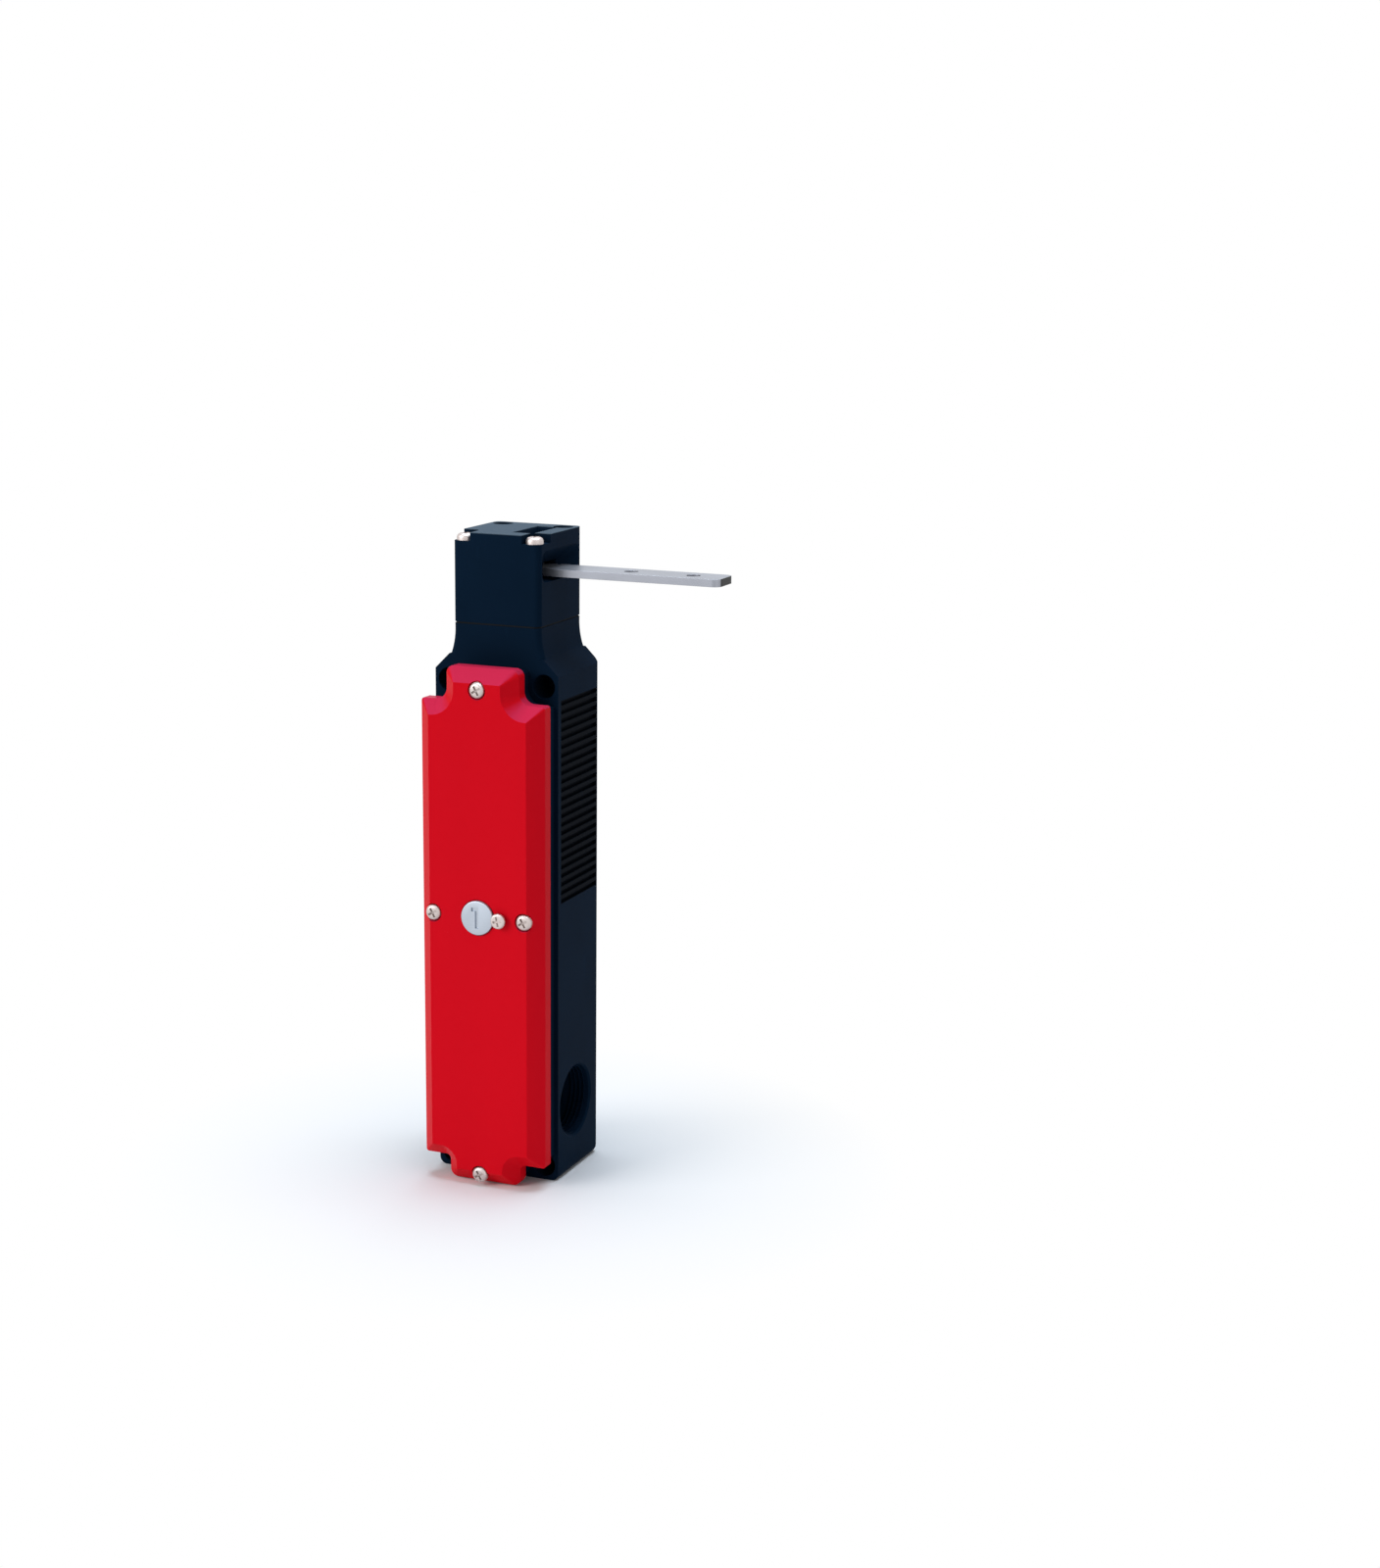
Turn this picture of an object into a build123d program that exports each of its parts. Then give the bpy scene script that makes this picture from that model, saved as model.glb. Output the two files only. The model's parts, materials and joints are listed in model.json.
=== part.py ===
"""Tongue interlock switch with guard locking.

Frame: +Z up the long body, +X the side where the tongue enters, -Y the cover side.
The origin is the centre of the foot, half way between cover front and mounting face.
"""
from build123d import *
import os
from math import cos, radians, sin

os.makedirs("parts", exist_ok=True)

# Body and cover
BODY_W = 43.0
BODY_D = 46.0
BODY_H = 166.8
SHOULDER = 5.0
NECK_H = 9.8
NECK_HOLLOW = 0.5
WALL = 3.0
COVER_DEPTH = 8.5
COVER_BEVEL = 4.5
COVER_WALL = 2.5
COVER_DROP = 8.0
COVER_FOOT = 7.6
TAB_W = 25.2
TAB_RISE = 3.0
TAB_FOOT = 0.4
TAB_R = 2.6
TOP_NOTCH_R = 3.8
FOOT_NOTCH_R = 1.6
COVER_CORNER_R = 1.0
SMALLEST_R = 0.2
GASKET_T = 0.8
GASKET_BAND = 3.0
FLANGE_T = 4.9
FLANGE_INSET = 1.4
CAVITY_FOOT = 8.6
CAVITY_DROP = 9.8
EDGE_R = 2.0
FOOT_R = 2.5

# Cooling ribs on both sides
RIB_COUNT = 24
RIB_RISE = 2.9
RIB_GAP_SHARE = 0.54
RIB_DEPTH = 1.2
RIB_LAND = 2.2

# Head
HEAD_W = 30.2
HEAD_H = 28.5
HEAD_GASKET_T = 0.5
HEAD_GASKET_INSET = 0.3
HEAD_NOTCH_X = 6.2
HEAD_NOTCH_Y = 8.2
HEAD_NOTCH_DROP = 2.8
HEAD_NOTCH_R = 2.4
HEAD_ROOF = 9.0
HEAD_WALL = 3.0
HEAD_CHEEK = 6.5
HEAD_SINK_R = 3.3

# Tongue and its two entries
TONGUE_SHARE = 0.396
TONGUE_T = 2.4
TONGUE_END = 71.3
TONGUE_RISE = 16.0
TONGUE_BAR = 3.0
WINDOW_L = 7.0
WINDOW_SHARE = 0.6
TONGUE_END_R = 2.5
TONGUE_INNER_R = 0.8
TONGUE_HOLE_R = 2.25
TONGUE_HOLE_GAP = 21.0
TONGUE_HOLE_EDGE = 11.0
SLOT_SIDE = 1.2
SLOT_H = 4.4
SLOT_DEPTH = 1.2
SLOT_UNDER = 0.6
SLOT_R = 0.5
SIDE_MOUTH_EDGE = 2.0
SIDE_MOUTH_UP = 4.9
SIDE_MOUTH_DOWN = 0.7
SIDE_MOUTH_R = 3.0
TOP_SLOT_X = 6.2
TOP_MOUTH_FLARE = 2.0
TOP_MOUTH_L = 7.4
TOP_MOUTH_DEPTH = 4.0

# Cam wheel
CAM_R = 9.3
CAM_REACH = 8.5
CAM_SIDE_ROOM = 0.8
CAM_HUB_R = 3.8
CAM_LOW_R = 5.3
CAM_TURN = 60.0
CAM_FLOOR_R = 6.8
CAM_NOTCH_START = 57.0
CAM_NOTCH_END = 107.0
CAM_RELIEF_START = 240.0
AXLE_R = 2.0
RUN_GAP = 0.05
SIDE_GAP = 0.4

# Actuating rod and its collar
ROD_R = 2.0
ROD_STROKE = 4.0
ROD_CAM_GAP = 0.7
BUSH_R = 4.0
COLLAR_R = 5.4
COLLAR_T = 2.0
COLLAR_DROP = 3.2

# Solenoid and lock
MAGNET_Y = -4.0
MAGNET_RISE = 7.9
MAGNET_DROP = 15.0
PLATE_T = 1.6
FRAME_W = 22.0
FRAME_D = 14.0
FRAME_TAB_W = 15.0
BOBBIN_R = 8.6
WINDING_R = 7.9
BOBBIN_BORE_R = 3.8
BOBBIN_TUBE_R = 4.8
BOBBIN_FLANGE_T = 1.2
ARMATURE_R = 3.4
ARMATURE_SHARE = 0.55
LOCK_STROKE = 5.0
CORE_GAP = 0.6
STEM_R = 1.5
FORK_T = 2.0
FORK_GAP = 0.4
FORK_ARM = 2.3
FORK_SLOT_R = 4.0
WIRE_R = 0.4
ROD_SPRING_R = 3.1
ARMATURE_SPRING_R = 2.5
SPRING_TURNS = 5

# Contact block
BLOCK_W = 26.0
BLOCK_FRONT = 9.0
BLOCK_RISE = 2.5
BLOCK_DROP = 4.1
BLOCK_WALL = 2.0
CARRIER_W = 7.0
CARRIER_D = 7.0
CARRIER_ROOM = 13.0
BRIDGE_L = 19.0
BRIDGE_W = 4.0
BRIDGE_T = 0.9
BRIDGE_SHARES = (0.22, 0.65)
BUTTON_R = 1.4
BUTTON_T = 0.8
CONTACT_GAP = 0.3
CONTACT_L = 5.6

# Terminals
TERMINAL_W = 33.0
TERMINAL_FRONT = -6.0
TERMINAL_RISE = 1.5
TERMINAL_H = 8.5
TERMINAL_COUNT = 8
TERMINAL_PITCH = 4.0
TERMINAL_HEAD_R = 1.5
TERMINAL_HEAD_T = 1.2
TERMINAL_SHANK_R = 0.9
TERMINAL_SHANK_L = 4.0
EARTH_DROP = 3.5
EARTH_HEAD_R = 3.0
EARTH_HEAD_T = 2.0

# Cable entries
ENTRY_Z = 23.7
ENTRY_Y = 4.8
ENTRY_R = 11.7
ENTRY_MOUTH_R = 12.3
ENTRY_MOUTH_DEPTH = 0.6
ENTRY_LENGTH = 9.4
CHAMBER_TOP = 37.5
PLUG_HEAD_R = 12.9
PLUG_HEAD_T = 1.6
PLUG_SEAL_T = 0.8
PLUG_KEY_R = 4.0
PLUG_KEY_DEPTH = 3.0

# Fixings
MOUNT_PITCH_X = 33.0
MOUNT_DROP = 3.4
MOUNT_FOOT = 5.0
MOUNT_HOLE_R = 2.65
MOUNT_SEAT_R = 3.9
MOUNT_SEAT_DEPTH = 12.0
COVER_SCREW_DROP = 3.6
COVER_SCREW_FOOT = 3.9
COVER_SCREW_X = 15.9
COVER_SCREW_R = 1.5
COVER_SCREW_BITE = 10.6
COVER_HEAD_R = 2.6
COVER_HEAD_T = 1.9
COVER_SEAT_R = 3.0
COVER_SEAT_DEPTH = 1.4
HEAD_SCREW_R = 1.5
HEAD_SCREW_EDGE = 3.1
HEAD_REAR_EDGE = 4.4
HEAD_HEAD_R = 2.8
HEAD_HEAD_T = 2.2
HEAD_SCREW_BITE = 10.0
SCREW_BOSS_R = 3.4
HEAD_EDGE_SHARE = 0.35

# Manual release
RELEASE_SHARE = 0.5402
DISC_R = 5.6
DISC_T = 1.2
DISC_PROUD = 0.8
DISC_GAP = 0.3
SPINDLE_R = 2.6
SPINDLE_L = 20.0
RELEASE_BUSH_R = 4.0
RELEASE_BOSS_R = 7.4
ECCENTRIC_R = 3.6
ECCENTRIC_SHIFT = 1.4
ECCENTRIC_T = 3.0
SLOT_CUT_W = 1.2
SLOT_CUT_DEPTH = 0.5
LOCKING_X = 7.8
LOCKING_HEAD_R = 2.5
LOCKING_HEAD_T = 1.1
LOCKING_SHANK_R = 1.4

# Levels and places that follow
Y_FRONT = -BODY_D / 2
Y_REAR = BODY_D / 2
Y_RIM = Y_FRONT + COVER_DEPTH
Y_SEAT = Y_RIM + GASKET_T
Y_BLOCK = Y_SEAT + FLANGE_T
Y_INNER = Y_REAR - WALL
SCREW_SEAT = Y_FRONT + COVER_SEAT_DEPTH
SCREW_END = Y_RIM + COVER_SCREW_BITE
SIDE = BODY_W / 2
INNER_SIDE = SIDE - WALL
NECK_FOOT = BODY_H + SHOULDER
NECK_TOP = NECK_FOOT + NECK_H
HEAD_FOOT = NECK_TOP + HEAD_GASKET_T
HEAD_TOP = HEAD_FOOT + HEAD_H
HEAD_SIDE = HEAD_W / 2
HEAD_D = Y_REAR - Y_BLOCK
COVER_TOP = BODY_H - COVER_DROP
TAB_TOP = BODY_H + TAB_RISE
CAVITY_TOP = BODY_H - CAVITY_DROP
COVER_SCREW_TOP = BODY_H - COVER_SCREW_DROP
MOUNT_TOP = BODY_H - MOUNT_DROP
RELEASE_Z = BODY_H * RELEASE_SHARE
RIB_FOOT = RELEASE_Z + RIB_RISE
RIB_PITCH = (COVER_TOP - RIB_FOOT) / (RIB_COUNT - 1 + RIB_GAP_SHARE)
RIB_GAP = RIB_PITCH * RIB_GAP_SHARE
MECH_Y = (Y_BLOCK + Y_REAR) / 2
TONGUE_Z = HEAD_FOOT + TONGUE_RISE
TONGUE_W = HEAD_D * TONGUE_SHARE
WINDOW_W = TONGUE_W * WINDOW_SHARE
SLOT_W = TONGUE_W + 2 * SLOT_SIDE
SIDE_MOUTH_W = HEAD_D - 2 * SIDE_MOUTH_EDGE
TOP_MOUTH_W = SLOT_W + 2 * TOP_MOUTH_FLARE
CAM_T = WINDOW_W - 2 * CAM_SIDE_ROOM
CAM_X = TOP_SLOT_X - CAM_REACH
CAM_Z = TONGUE_Z - CAM_REACH
BAR_END = CAM_X - TONGUE_BAR / 2
ROD_TIP = CAM_Z - CAM_LOW_R - ROD_CAM_GAP
COLLAR_REST = CAVITY_TOP - COLLAR_DROP
MAGNET_FOOT = RELEASE_Z + MAGNET_RISE
MAGNET_TOP = CAVITY_TOP - MAGNET_DROP
ARMATURE_L = (MAGNET_TOP - MAGNET_FOOT - 2 * PLATE_T) * ARMATURE_SHARE
TERMINAL_FOOT = CHAMBER_TOP + TERMINAL_RISE
EARTH_Z = CHAMBER_TOP - EARTH_DROP
BLOCK_FOOT = TERMINAL_FOOT + TERMINAL_H + BLOCK_RISE
BLOCK_TOP = RELEASE_Z - BLOCK_DROP
CARRIER_H = BLOCK_TOP - BLOCK_FOOT - CARRIER_ROOM
CARRIER_FOOT = BLOCK_FOOT + BLOCK_WALL + ROD_STROKE + SIDE_GAP
CARRIER_TOP = CARRIER_FOOT + CARRIER_H
ARMATURE_FOOT = MAGNET_TOP - PLATE_T - CORE_GAP - ARMATURE_L
CORE_TOP = ARMATURE_FOOT - LOCK_STROKE - CORE_GAP
FORK_TOP = COLLAR_REST - FORK_GAP


def block(x0, x1, y0, y1, z0, z1):
    """Box between two corners."""
    size = Box(x1 - x0, y1 - y0, z1 - z0)
    return Pos((x0 + x1) / 2, (y0 + y1) / 2, (z0 + z1) / 2) * size


def rod_z(x, y, z0, z1, radius):
    """Round bar along Z."""
    return Pos(x, y, (z0 + z1) / 2) * Cylinder(radius, z1 - z0)


def rod_y(x, z, y0, y1, radius):
    """Round bar along Y."""
    return Pos(x, (y0 + y1) / 2, z) * Rot(90, 0, 0) * Cylinder(radius, y1 - y0)


def rod_x(y, z, x0, x1, radius):
    """Round bar along X."""
    return Pos((x0 + x1) / 2, y, z) * Rot(0, 90, 0) * Cylinder(radius, x1 - x0)


def front_plane(y):
    """Plane square to Y, drawn in X and Z and facing the cover side."""
    return Plane.XZ.offset(-y)


def slab(sketch, y0, y1):
    """Outline in X and Z made solid between two depths."""
    return extrude(front_plane(y1) * sketch, amount=y1 - y0)


def rounded(points, corners):
    """Closed outline with its listed corners rounded."""
    sketch = Sketch() + make_face(Polyline(*points, close=True))
    for places, radius in corners:
        picked = [sketch.vertices().sort_by_distance(Vector(x, z, 0))[0] for x, z in places]
        sketch = fillet(picked, radius)
    return sketch


def cover_outline(inset):
    """Cover outline with a tab at each end and four notched corners, drawn in by an inset."""
    side = SIDE - inset
    top = COVER_TOP - inset
    foot = COVER_FOOT + inset
    tab = TAB_W / 2 - inset
    tab_top = TAB_TOP - inset
    tab_foot = TAB_FOOT + inset
    right = [(side, foot), (side, top), (tab, top), (tab, tab_top)]
    left = [(-x, z) for x, z in reversed(right)]
    points = right + left + [(-side, foot), (-tab, foot), (-tab, tab_foot), (tab, tab_foot), (tab, foot)]
    points = list(dict.fromkeys(points))
    corner_r = max(COVER_CORNER_R - inset, SMALLEST_R)
    tab_r = max(TAB_R - inset, SMALLEST_R)
    corners = [
        ([(side, foot), (side, top), (-side, top), (-side, foot)], corner_r),
        ([(tab, tab_top), (-tab, tab_top), (tab, tab_foot), (-tab, tab_foot)], tab_r),
        ([(tab, top), (-tab, top)], TOP_NOTCH_R + inset),
        ([(tab, foot), (-tab, foot)], FOOT_NOTCH_R + inset),
    ]
    return rounded(points, corners)


def cover_screw_places():
    """X and Z of the four cover screws."""
    return [
        (0, COVER_SCREW_TOP),
        (0, COVER_SCREW_FOOT),
        (COVER_SCREW_X, RELEASE_Z),
        (-COVER_SCREW_X, RELEASE_Z),
    ]


def head_screw_places():
    """X and Y of the four head screws, two in the front notches and two sunk at the rear."""
    front = HEAD_SIDE - HEAD_SCREW_EDGE
    rear = HEAD_SIDE - HEAD_REAR_EDGE
    places = [(i * front, Y_BLOCK + HEAD_SCREW_EDGE) for i in (-1, 1)]
    return places + [(i * rear, Y_REAR - HEAD_REAR_EDGE) for i in (-1, 1)]


def body_outline():
    """Front view of the body below its neck: rounded foot and 45 degree shoulders."""
    neck = SIDE - SHOULDER
    right = [(SIDE, 0), (SIDE, BODY_H), (neck, NECK_FOOT)]
    left = [(-x, z) for x, z in reversed(right)]
    return rounded(right + left, [([(SIDE, 0), (-SIDE, 0)], FOOT_R)])


def make_neck():
    """Neck with rounded upright edges that flares in a hollow to the head's width."""
    foot_w = BODY_W - 2 * SHOULDER
    middle_w = (foot_w + HEAD_W) / 2 - 2 * NECK_HOLLOW
    levels = [(NECK_FOOT, foot_w), ((NECK_FOOT + NECK_TOP) / 2, middle_w), (NECK_TOP, HEAD_W)]
    plans = [Pos(0, MECH_Y, z) * RectangleRounded(width, HEAD_D, EDGE_R) for z, width in levels]
    return loft([plan.face() for plan in plans])


def make_housing():
    """Long body open at the front, with ribs, cable entries, fixing holes and the rod's guide hole."""
    solid = slab(body_outline(), Y_BLOCK, Y_REAR)
    solid = fillet(solid.edges().filter_by(Axis.Z).group_by(Axis.Y)[-1], EDGE_R)
    solid += make_neck()
    solid += slab(cover_outline(FLANGE_INSET), Y_SEAT, Y_BLOCK)

    chamber_side = SIDE - ENTRY_MOUTH_DEPTH - ENTRY_LENGTH
    cavity = block(-INNER_SIDE, INNER_SIDE, Y_SEAT, Y_INNER, CHAMBER_TOP, CAVITY_TOP)
    cavity += block(-chamber_side, chamber_side, Y_SEAT, Y_INNER, CAVITY_FOOT, CHAMBER_TOP)
    boss_depth = SCREW_END + WALL / 2
    for i in (-1, 1):
        boss = rod_y(i * COVER_SCREW_X, RELEASE_Z, Y_SEAT, boss_depth, SCREW_BOSS_R)
        web = block(
            i * COVER_SCREW_X if i > 0 else -SIDE,
            SIDE if i > 0 else i * COVER_SCREW_X,
            Y_SEAT, boss_depth, RELEASE_Z - SCREW_BOSS_R, RELEASE_Z + SCREW_BOSS_R,
        )
        cavity -= boss + web
    solid -= cavity

    cuts = []
    rib_front = Y_BLOCK + RIB_LAND
    rib_rear = Y_REAR - RIB_LAND
    for n in range(RIB_COUNT):
        z = RIB_FOOT + n * RIB_PITCH
        for i in (-1, 1):
            x0, x1 = sorted((i * (SIDE - RIB_DEPTH), i * (SIDE + 1)))
            cuts.append(block(x0, x1, rib_front, rib_rear, z, z + RIB_GAP))
    for x in (-MOUNT_PITCH_X / 2, MOUNT_PITCH_X / 2):
        for z in (MOUNT_FOOT, MOUNT_TOP):
            cuts.append(rod_y(x, z, Y_SEAT - 1, Y_REAR + 1, MOUNT_HOLE_R))
            cuts.append(rod_y(x, z, Y_SEAT - 1, Y_BLOCK + MOUNT_SEAT_DEPTH, MOUNT_SEAT_R))
    for x, z in cover_screw_places():
        cuts.append(rod_y(x, z, Y_SEAT - 1, SCREW_END, COVER_SCREW_R))
    for x, y in head_screw_places():
        cuts.append(rod_z(x, y, NECK_TOP - HEAD_SCREW_BITE, NECK_TOP + 1, HEAD_SCREW_R))

    mouth_x = SIDE - ENTRY_MOUTH_DEPTH
    mouth = Pos(mouth_x, ENTRY_Y, ENTRY_Z) * Rot(0, 90, 0)
    flare = Cone(ENTRY_R, ENTRY_MOUTH_R, ENTRY_MOUTH_DEPTH, align=(Align.CENTER, Align.CENTER, Align.MIN))
    cuts.append(mouth * flare)
    cuts.append(rod_x(ENTRY_Y, ENTRY_Z, -SIDE - 1, mouth_x, ENTRY_R))
    cuts.append(rod_x(ENTRY_Y, ENTRY_Z, -SIDE - 1, -SIDE + PLUG_HEAD_T + PLUG_SEAL_T, PLUG_HEAD_R))

    cuts.append(rod_z(CAM_X, MECH_Y, CAVITY_TOP - 1, NECK_TOP + 1, BUSH_R))
    cam_room = CAM_R + SIDE_GAP
    drop = CAM_Z - cam_room
    half = (cam_room ** 2 - (CAM_Z - NECK_TOP) ** 2) ** 0.5 + SIDE_GAP
    room_y = CAM_T / 2 + 2 * SIDE_GAP
    cuts.append(block(CAM_X - half, CAM_X + half, MECH_Y - room_y, MECH_Y + room_y, drop, NECK_TOP + 1))
    cuts.append(rod_y(0, EARTH_Z, Y_INNER - 1, Y_INNER + WALL / 2, COVER_SCREW_R))
    return solid - cuts


def make_front_cover():
    """Pan-shaped cover with a bevel all round, screw seats, release boss and a hollow inside."""
    bevel_y = Y_FRONT + COVER_BEVEL
    solid = slab(cover_outline(0), bevel_y, Y_RIM)
    rear = front_plane(bevel_y) * cover_outline(0)
    front = front_plane(Y_FRONT) * cover_outline(COVER_BEVEL)
    solid += loft([rear.face(), front.face()], ruled=True)

    inner_side = SIDE - COVER_WALL
    hollow = block(
        -inner_side, inner_side, Y_FRONT + COVER_WALL, Y_RIM,
        COVER_FOOT + COVER_WALL, COVER_TOP - COVER_WALL,
    )
    hollow = chamfer(hollow.faces().sort_by(Axis.Y)[0].edges(), COVER_BEVEL - COVER_WALL / 3)
    hollow -= rod_y(0, RELEASE_Z, Y_FRONT, Y_RIM, RELEASE_BOSS_R)
    for i in (-1, 1):
        hollow -= rod_y(i * COVER_SCREW_X, RELEASE_Z, Y_FRONT, Y_RIM, SCREW_BOSS_R)
    solid -= hollow

    cuts = []
    for x, z in cover_screw_places():
        cuts.append(rod_y(x, z, Y_FRONT - 1, Y_RIM + 1, COVER_SCREW_R))
        cuts.append(rod_y(x, z, Y_FRONT - 1, SCREW_SEAT, COVER_SEAT_R))
    cuts.append(rod_y(0, RELEASE_Z, Y_FRONT - 1, Y_RIM + 1, RELEASE_BUSH_R))
    disc_floor = Y_FRONT - DISC_PROUD + DISC_T + RUN_GAP
    cuts.append(rod_y(0, RELEASE_Z, Y_FRONT - 1, disc_floor, DISC_R + DISC_GAP))
    cuts.append(rod_y(LOCKING_X, RELEASE_Z, Y_FRONT - 1, Y_FRONT + COVER_WALL, LOCKING_SHANK_R))
    return solid - cuts


def make_cover_gasket():
    """Flat seal on the flange, open inside, with holes for the cover screws."""
    solid = slab(cover_outline(FLANGE_INSET), Y_RIM, Y_SEAT)
    side = SIDE - FLANGE_INSET - GASKET_BAND
    foot = COVER_FOOT + FLANGE_INSET + GASKET_BAND
    opening = block(-side, side, Y_RIM - 1, Y_SEAT + 1, foot, COVER_TOP - FLANGE_INSET - GASKET_BAND)
    for i in (-1, 1):
        opening -= rod_y(i * COVER_SCREW_X, RELEASE_Z, Y_RIM - 1, Y_SEAT + 1, SCREW_BOSS_R)
    holes = [rod_y(x, z, Y_RIM - 1, Y_SEAT + 1, COVER_SCREW_R) for x, z in cover_screw_places()]
    return solid - opening - holes


def domed_screw(head_r, head_t, shank_r, shank_l):
    """Screw along Z with the underside of its domed head at z = 0 and the shank below."""
    edge = head_t * HEAD_EDGE_SHARE
    rise = head_t - edge
    dome_r = (head_r ** 2 + rise ** 2) / (2 * rise)
    head = rod_z(0, 0, 0, head_t, head_r) & (Pos(0, 0, head_t - dome_r) * Sphere(dome_r))
    return head + rod_z(0, 0, -shank_l, 0, shank_r)


def make_cover_screws():
    """Four screws that hold the cover."""
    screw = domed_screw(COVER_HEAD_R, COVER_HEAD_T, COVER_SCREW_R, SCREW_END - SCREW_SEAT)
    return [Pos(x, SCREW_SEAT, z) * Rot(90, 0, 0) * screw for x, z in cover_screw_places()]


def head_plan(inset):
    """Plan of the head with rounded upright edges."""
    return Pos(0, MECH_Y) * RectangleRounded(HEAD_W - 2 * inset, HEAD_D - 2 * inset, EDGE_R)


def head_room():
    """Room inside the head: wide where the tongue runs, narrow at the ends of the cam's hub."""
    roof = HEAD_TOP - HEAD_ROOF
    wide = HEAD_SIDE - HEAD_WALL
    cheek = HEAD_SIDE - HEAD_CHEEK
    narrow = wide - HEAD_SCREW_EDGE - HEAD_SCREW_R
    half = SLOT_W / 2 + SIDE_GAP
    room = block(-wide, cheek, MECH_Y - half, MECH_Y + half, HEAD_FOOT, roof)
    return room + block(-narrow, narrow, Y_BLOCK + HEAD_WALL, Y_REAR - HEAD_WALL, HEAD_FOOT, roof)


def make_head_housing():
    """Turret with two notched corners, two sunk screw seats, a deep side entry and a top entry."""
    solid = extrude(Pos(0, 0, HEAD_FOOT) * head_plan(0), amount=HEAD_H)
    notch_z = HEAD_TOP - HEAD_NOTCH_DROP
    cuts = [head_room()]
    for i in (-1, 1):
        plan = RectangleRounded(2 * HEAD_NOTCH_X, 2 * HEAD_NOTCH_Y, HEAD_NOTCH_R)
        cuts.append(extrude(Pos(i * HEAD_SIDE, Y_BLOCK, notch_z) * plan, amount=HEAD_NOTCH_DROP + 1))
    for x, y in head_screw_places():
        cuts.append(rod_z(x, y, HEAD_FOOT - 1, HEAD_TOP, HEAD_SCREW_R))
        if y > MECH_Y:
            cuts.append(rod_z(x, y, notch_z, HEAD_TOP + 1, HEAD_SINK_R))

    slot_foot = TONGUE_Z - TONGUE_T / 2 - SLOT_UNDER
    slot_top = slot_foot + SLOT_H
    slot_mid = slot_foot + SLOT_H / 2
    inner_x = HEAD_SIDE - HEAD_CHEEK
    mouth_x = inner_x + SLOT_DEPTH
    cuts.append(block(inner_x - 1, mouth_x, MECH_Y - SLOT_W / 2, MECH_Y + SLOT_W / 2, slot_foot, slot_top))
    slot = Plane.YZ.offset(mouth_x) * Pos(MECH_Y, slot_mid) * RectangleRounded(SLOT_W, SLOT_H, SLOT_R)
    mouth_h = SLOT_H + SIDE_MOUTH_UP + SIDE_MOUTH_DOWN
    mouth_z = slot_mid + (SIDE_MOUTH_UP - SIDE_MOUTH_DOWN) / 2
    mouth_plan = RectangleRounded(SIDE_MOUTH_W, mouth_h, SIDE_MOUTH_R)
    mouth = Plane.YZ.offset(HEAD_SIDE) * Pos(MECH_Y, mouth_z) * mouth_plan
    cuts.append(loft([slot.face(), mouth.face()], ruled=True))

    top_inner = Pos(TOP_SLOT_X, MECH_Y, HEAD_TOP - TOP_MOUTH_DEPTH) * Rectangle(SLOT_H, SLOT_W)
    top_outer = Pos(TOP_SLOT_X, MECH_Y, HEAD_TOP) * Rectangle(TOP_MOUTH_L, TOP_MOUTH_W)
    cuts.append(loft([top_inner.face(), top_outer.face()], ruled=True))
    cuts.append(block(
        TOP_SLOT_X - SLOT_H / 2, TOP_SLOT_X + SLOT_H / 2,
        MECH_Y - SLOT_W / 2, MECH_Y + SLOT_W / 2,
        HEAD_TOP - HEAD_ROOF - 1, HEAD_TOP - TOP_MOUTH_DEPTH,
    ))
    cuts.append(rod_y(CAM_X, CAM_Z, Y_BLOCK + HEAD_WALL / 2, Y_REAR - HEAD_WALL / 2, AXLE_R))
    return solid - cuts


def make_head_gasket():
    """Thin seal between neck and head."""
    solid = extrude(Pos(0, 0, NECK_TOP) * head_plan(HEAD_GASKET_INSET), amount=HEAD_GASKET_T)
    holes = [rod_z(x, y, NECK_TOP - 1, HEAD_FOOT + 1, HEAD_SCREW_R) for x, y in head_screw_places()]
    opening = Pos(0, 0, -HEAD_GASKET_T) * head_room()
    return solid - opening - holes


def make_head_screws():
    """Four screws that hold the head."""
    seat = HEAD_TOP - HEAD_NOTCH_DROP
    length = seat - NECK_TOP + HEAD_SCREW_BITE
    screw = domed_screw(HEAD_HEAD_R, HEAD_HEAD_T, HEAD_SCREW_R, length)
    return [Pos(x, y, seat) * screw for x, y in head_screw_places()]


def make_cam_axle():
    """Fixed pin of the cam wheel."""
    return rod_y(CAM_X, CAM_Z, Y_BLOCK + HEAD_WALL / 2, Y_REAR - HEAD_WALL / 2, AXLE_R)


def polar(radius, angle):
    """Point of the cam's front view."""
    return (radius * cos(radians(angle)), radius * sin(radians(angle)))


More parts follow.
